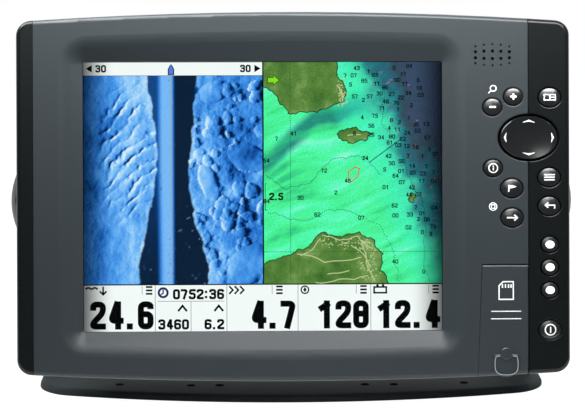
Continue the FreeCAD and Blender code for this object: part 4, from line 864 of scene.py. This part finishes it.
RED_AREA = [(50.6, 10.4), (52.4, 8.6), (56.0, 11.4), (57.2, 16.4), (54.6, 17.2), (50.6, 14.6)]
bm = bmesh.new()
band(bm, RED_AREA, 0.55, ON_TOP, closed=True)
scattered(bm, count=12, lowest=-34, top_x=70, drift=(2, 6), wide=0.9, high=1.3)
screen_piece("picture_red_marks", bm, plain_light("panel light, red", "#d8483a"))
bm = bmesh.new()
scattered(bm, count=16, lowest=-24, top_x=74, drift=(0, 6), wide=2.0, high=1.2)
screen_piece("picture_purple_marks", bm, plain_light("panel light, purple", "#8a5aa8"))

ARROW = [(3.0, 67.4), (6.4, 67.4), (6.4, 65.9), (9.8, 68.9), (6.4, 71.9), (6.4, 70.4), (3.0, 70.4)]
bm = bmesh.new()
filled(bm, ARROW, in_place(MARKS))
screen_piece("picture_arrow", bm, plain_light("panel light, lime", "#86e01e"))
bm = bmesh.new()
band(bm, ARROW, 0.4, ON_TOP, closed=True)
screen_piece("picture_arrow_edge", bm, plain_light("panel light, dark olive", "#2f5212"))


# ---------------------------------------------------------------- keys
# Twelve domed caps in near-black ABS, polished so that the room shows in them. Their signs
# are thin white print, each laid on its own cap's dome.
PRINT = 0.05
PRINT_PACE = 0.5
IN_FRONT = -6


def on_surface(node):
    """Lays flat drawing on a CAD node, straight back from in front of the face."""
    solid = frame["nodes"][node]
    inward = solid.matrix_world.inverted() @ HEAD @ Matrix.Scale(MM, 4)
    outward = inward.inverted()
    heading = (inward.to_3x3() @ Vector((0, 1, 0))).normalized()

    def put(x, z):
        _, spot, _, _ = solid.ray_cast(inward @ Vector((x, IN_FRONT, z)), heading)
        return (x, (outward @ spot).y - PRINT, z)
    return put


def printed(name, bm, body, material):
    """A thin print that moves with the body it is on."""
    piece = new_mesh(name, bm, material, smooth=False)
    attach(piece, body)


def sign(name, node, body, x, z, strokes, wide, material):
    """Strokes printed on a node's surface round x, z, with points enough to follow its curve."""
    bm = bmesh.new()
    for stroke in strokes:
        line = fine([(x + dx, z + dz) for dx, dz in stroke], PRINT_PACE)
        band(bm, line, wide, on_surface(node))
    printed(name, bm, body, material)


key_abs = moulded("black ABS, polished and lacquered", "#101314",
                  roughness=0.25, grain=2.5, relief=0.002, drift=0.02, shine=0.9)
white_print = moulded("white pad-printed ink", "#eef1f1",
                      roughness=0.45, grain=0.5, relief=0.003, drift=0.02)
CIRCLE = ring(0, 0, 5.2) + [(2.6, 0)]
# A key's sign: its middle, the width of its strokes, and the strokes round that middle.
SIGNS = {
    "zoom_in": (129.1, 58.2, 1.1, [[(-1.8, 0), (1.8, 0)], [(0, -1.8), (0, 1.8)]]),
    "zoom_out": (116.8, 52.1, 1.1, [[(-1.9, 0), (1.9, 0)]]),
    "info": (117.1, 16.2, 0.6, [CIRCLE, [(0, -1.3), (0, 0.3)], [(0, 0.8), (0, 1.4)]]),
    "mark": (128.2, 4.3, 0.7, [
        [(-2.0, -2.0), (-2.0, 2.0)], [(-2.0, 1.6), (2.0, 1.0), (-2.0, 0.1)], [(-2.0, 0.9), (0.6, 0.9)]]),
    "goto": (128.3, -13, 0.8, [[(-3.2, 0), (2.4, 0)], [(1.1, 1.7), (2.9, 0), (1.1, -1.7)]]),
    "view": (150.6, 57.7, 0.6, [
        [(-3.3, -1.6), (3.3, -1.6), (3.3, 1.6), (-3.3, 1.6), (-3.3, -1.9)],
        [(0, -1.6), (0, 1.6)], [(0, 0), (3.3, 0)]]),
    "menu": (150.2, 10.7, 0.75, [[(-3.1, z), (3.1, z)] for z in (-1.5, 0, 1.5)]),
    "exit": (150.2, -6.2, 0.75, [
        [(3.0, -1.6), (3.0, 0.5), (-2.2, 0.5)], [(-0.8, 2.0), (-2.5, 0.5), (-0.8, -1.0)]]),
    "power": (150.5, -78.9, 0.7, [ring(0, 0, 6.2) + [(3.1, 0)], [(0, -1.7), (0, 1.7)]]),
}
for key, (x, z, wide, strokes) in SIGNS.items():
    finish(key_abs, f"{key}_key")
    sign(f"{key}_sign", f"{key}_key", f"{key}_button", x, z, strokes, wide, white_print)

# The three preset keys carry a plain white spot; it glows a little, a painted glow with no lamp behind it.
MIST = 2.5
PRESET_X, PRESET_TOP, PRESET_PITCH = 150.4, -28.8, 13.4
SPOT_WIDE, SPOT_HIGH = 5.4, 4.6
painted_glow_print, tree = new_material("white ink with a painted glow")
place = add(tree, "TexCoord").outputs["Object"]
mist = add(tree, "TexNoise", {"Vector": place, "Scale": 1 / (MIST * MM), "Detail": 2})
tone = add(tree, "MapRange", {"Value": mist.outputs["Fac"], "To Min": 0.9, "To Max": 1})
# Painted light: the spot's emission makes the ink glow though nothing lights it from within.
shader = add(tree, "BsdfPrincipled", {
    "Base Color": linear("#edefef"), "Roughness": 0.4,
    "Emission Color": tone.outputs[0], "Emission Strength": 0.45})
add(tree, "OutputMaterial", {"Surface": shader.outputs[0]})
for number in range(3):
    key = f"preset_{number + 1}"
    finish(key_abs, f"{key}_key")
    put = on_surface(f"{key}_key")
    z = PRESET_TOP - PRESET_PITCH * number
    bm = bmesh.new()
    rounds = []
    for share in (0.02, 0.4, 0.75, 1):
        outline = ring(PRESET_X, z, SPOT_WIDE * share, SPOT_HIGH * share)
        rounds.append([bm.verts.new(put(*spot)) for spot in outline])
    for inner, outer in zip(rounds, rounds[1:]):
        for i, corner in enumerate(outer):
            bm.faces.new((inner[i - 1], outer[i - 1], corner, inner[i]))
    bm.faces.new(rounds[0])
    printed(f"{key}_spot", bm, f"{key}_button", painted_glow_print)

# ---------------------------------------------------------------- cursor pad
# One dished rocker in the keys' plastic, polished further: its hollow gathers the light
# near its foot. Four chevrons, thin at their tips, point the ways it tilts.
pad_abs = moulded("black ABS, mirror-polished tool", "#0b0e0f",
                  roughness=0.17, grain=2.5, relief=0.002, drift=0.02, shine=0.9)
finish(pad_abs, "cursor_pad")
PAD_X, PAD_Z = 138.1, 34.1
CHEVRON_RISE, CHEVRON_THICK, TIP_THICK = 1.5, 1.0, 0.2
CHEVRONS_UP_DOWN, CHEVRONS_ASIDE = (9.0, 3.6), (13.3, 2.8)
STEPS = 6
bm = bmesh.new()
put = on_surface("cursor_pad")
for quarter in range(4):
    away, half_long = CHEVRONS_ASIDE if quarter % 2 else CHEVRONS_UP_DOWN
    turn = Matrix.Rotation(-math.pi / 2 * quarter, 2)
    ribs = []
    for i in range(-STEPS, STEPS + 1):
        share = 1 - abs(i) / STEPS
        outer = away + CHEVRON_RISE * share
        inner = outer - CHEVRON_THICK * share - TIP_THICK
        ends = [turn @ Vector((half_long * i / STEPS, reach)) for reach in (outer, inner)]
        ribs.append([bm.verts.new(put(PAD_X + x, PAD_Z + z)) for x, z in ends])
    for (a, b), (c, d) in zip(ribs, ribs[1:]):
        bm.faces.new((a, b, d, c))
printed("pad_chevrons", bm, "pad", white_print)

# ---------------------------------------------------------------- printing on the face
# Small white signs stand by the keys and on the door: a lens over the two zoom keys, a life
# ring by the mark key, and on the door the card that it covers over two lines for its slots.
# A pale line round the latch's rim is a painted highlight, where its edge would catch the light.
LENS = [ring(0.4, 0.5, 3.4) + [(2.1, 0.5)], [(-0.8, -0.7), (-2.4, -2.3)]]
sign("lens_sign", "front_bezel", "head", 117.0, 62.6, LENS, 0.6, white_print)
LIFE_RING = [ring(0, 0, 4.4) + [(2.2, 0)], ring(0, 0, 2.2) + [(1.1, 0)]]
for turn in (0.79, 2.36, 3.93, 5.5):
    LIFE_RING.append([(math.cos(turn) * reach, math.sin(turn) * reach) for reach in (1.2, 2.1)])
sign("life_ring_sign", "front_bezel", "head", 117.1, -6.4, LIFE_RING, 0.5, white_print)
CARD = [[(-4.2, -5), (4.2, -5), (4.2, 5.4), (-1.8, 5.4), (-4.2, 3.0), (-4.2, -5.3)]]
CARD += [[(x, 1.8), (x, 3.9)] for x in (-2.2, -0.4, 1.4, 2.9)]
sign("card_sign", "card_door", "door", 124.6, -56, CARD, 0.7, white_print)
# The painted highlight: a pale band along the latch's rim, where its edge would catch the light.
RIM = softened([(-3.8, -1.5), (-6.8, -1.5), (-6.8, -12.5), (6.8, -12.5), (6.8, -1.5), (3.8, -1.5)], 6)
edge_highlight_paint = moulded("grey ABS, pale as a painted edge highlight", "#8f999b",
                 roughness=0.35, grain=1.5, relief=0.004, drift=0.25)
sign("latch_painted_highlight_rim", "door_latch", "latch", 124.5, -92.8, [RIM], 0.4, edge_highlight_paint)
SLOTS = [[(-8.8, 0), (8.8, 0)], [(-8.8, -4.4), (8.8, -4.4)]]
sign("slot_lines", "card_door", "door", 124.6, -68, SLOTS, 0.5, white_print)


# ---------------------------------------------------------------- knobs
# Scalloped knobs in the bracket's nylon, moulded smoother for the fingers, over stainless
# studs. A steel washer and a rubber one take the clamping.
knob_nylon = moulded("glass-filled nylon, satin mould", "#121516",
                     roughness=0.42, grain=0.8, relief=0.02, shine=0.3)
finish(knob_nylon, "left_knob", "right_knob")

# Tool marks are drawn coarser than real ones, which are too fine to show.
METAL_GLOSS_DRIFT = 0.08
SCRATCH_DEPTH = 0.01


def metal(name, colour, roughness, marks, stretch=(1, 1, 1)):
    """A bare metal with fine tool marks, marks in mm, drawn out the way it was worked."""
    made, tree = new_material(name)
    place = add(tree, "TexCoord").outputs["Object"]
    drawn = add(tree, "VectorMath", {0: place, 1: stretch}, operation="MULTIPLY")
    scratches = add(tree, "TexNoise", {
        "Vector": drawn.outputs[0], "Scale": 1 / (marks * MM), "Detail": 3, "Roughness": 0.6})
    tone = add(tree, "MapRange", {"Value": scratches.outputs["Fac"], "To Min": 0.88, "To Max": 1.08})
    tint = add(tree, "HueSaturation", {"Color": linear(colour), "Value": tone.outputs[0]})
    gloss = add(tree, "MapRange", {
        "Value": scratches.outputs["Fac"],
        "To Min": roughness - METAL_GLOSS_DRIFT, "To Max": roughness + METAL_GLOSS_DRIFT})
    bump = add(tree, "Bump", {
        "Height": scratches.outputs["Fac"], "Distance": SCRATCH_DEPTH * MM, "Strength": 1})
    shader = add(tree, "BsdfPrincipled", {
        "Base Color": tint.outputs[0], "Metallic": 1,
        "Roughness": gloss.outputs[0], "Normal": bump.outputs[0]})
    add(tree, "OutputMaterial", {"Surface": shader.outputs[0]})
    return made


stainless = metal("turned stainless steel", "#c9cbcc", roughness=0.3, marks=0.6, stretch=(0.1, 1, 1))
finish(stainless, "knob_stud_left", "knob_stud_right", "knob_washer_left", "knob_washer_right",
       "housing_screws", "chassis_screws", "board_screws", "key_board_screws")
black_zinc = metal("steel rod, black zinc plate", "#2a2c2e",
                   roughness=0.5, marks=0.6, stretch=(0.1, 1, 1))
finish(black_zinc, "door_hinge_pin")
brass = metal("turned brass", "#d2a960", roughness=0.3, marks=0.6, stretch=(0.1, 1, 1))
finish(brass, "pivot_insert_left", "pivot_insert_right")

# ---------------------------------------------------------------- sockets on the back
# Five round sockets for power, sounder and aerials: nickelled brass shells and nuts
# round glass-filled inserts.
nickel = metal("bright nickel plate on brass", "#cfd0cb", roughness=0.2, marks=0.9, stretch=(1, 0.1, 1))
finish(nickel, "connector_shells", "connector_nuts")
insert_nylon = moulded("black nylon, connector grade", "#15171a", roughness=0.45, grain=0.6, relief=0.01)
finish(insert_nylon, "connector_inserts")

# ---------------------------------------------------------------- inside the head
# Plated sheet steel carries the display stack and the boards. None of it shows from
# outside, but each thing has the finish that it is bought with.
zinc_steel = metal("zinc-plated steel sheet", "#b4b9bd", roughness=0.38, marks=1.8)
finish(zinc_steel, "display_chassis", "card_reader")
aluminium = metal("extruded aluminium", "#c3c6c9", roughness=0.36, marks=0.8, stretch=(1, 1, 0.1))
finish(aluminium, "heat_sink")
tray_white = moulded("white polycarbonate, reflector grade", "#e9ebea",
                     roughness=0.5, grain=0.8, relief=0.01, drift=0.02)
finish(tray_white, "backlight_tray")
guide_acrylic = moulded("acrylic light guide, frosted back", "#eef2f3",
                        roughness=0.25, grain=0.6, relief=0.004, drift=0.02)
finish(guide_acrylic, "light_guide")
speaker_black = moulded("pressed paper cone in a painted basket", "#1a1b1c",
                        roughness=0.6, grain=0.6, relief=0.06)
finish(speaker_black, "speaker")
epoxy = moulded("moulded epoxy, chip packages", "#141516", roughness=0.5, grain=0.5, relief=0.01)
finish(epoxy, "board_chips", "key_switches")

# The glass cloth's weave is about half a millimetre, drawn twice as coarse so that it shows.
WEAVE, WEAVE_DEPTH = 1.1, 0.02


def tracked(name, ground, copper, pitch):
    """Laminate whose copper tracks, pitch in mm, show as paler lanes through its coat."""
    made, tree = new_material(name)
    place = add(tree, "TexCoord").outputs["Object"]
    lanes = add(tree, "TexBrick", {
        "Vector": place, "Scale": 1 / (pitch * MM), "Color1": linear(ground), "Color2": linear(ground),
        "Mortar": linear(copper), "Mortar Size": 0.06, "Brick Width": 2.5, "Row Height": 0.5})
    weave = add(tree, "TexNoise", {"Vector": place, "Scale": 1 / (WEAVE * MM), "Detail": 2})
    bump = add(tree, "Bump", {
        "Height": weave.outputs["Fac"], "Distance": WEAVE_DEPTH * MM, "Strength": 1})
    shader = add(tree, "BsdfPrincipled", {
        "Base Color": lanes.outputs["Color"], "Roughness": 0.3, "Normal": bump.outputs[0]})
    add(tree, "OutputMaterial", {"Surface": shader.outputs[0]})
    return made


laminate = tracked("glass-epoxy laminate, green solder resist", "#0f4a2a", "#1c6b3f", pitch=4)
finish(laminate, "main_board", "key_board")
ribbon_film = tracked("polyimide film, copper tracks", "#b5702a", "#d39a55", pitch=2)
finish(ribbon_film, "keypad_ribbon")
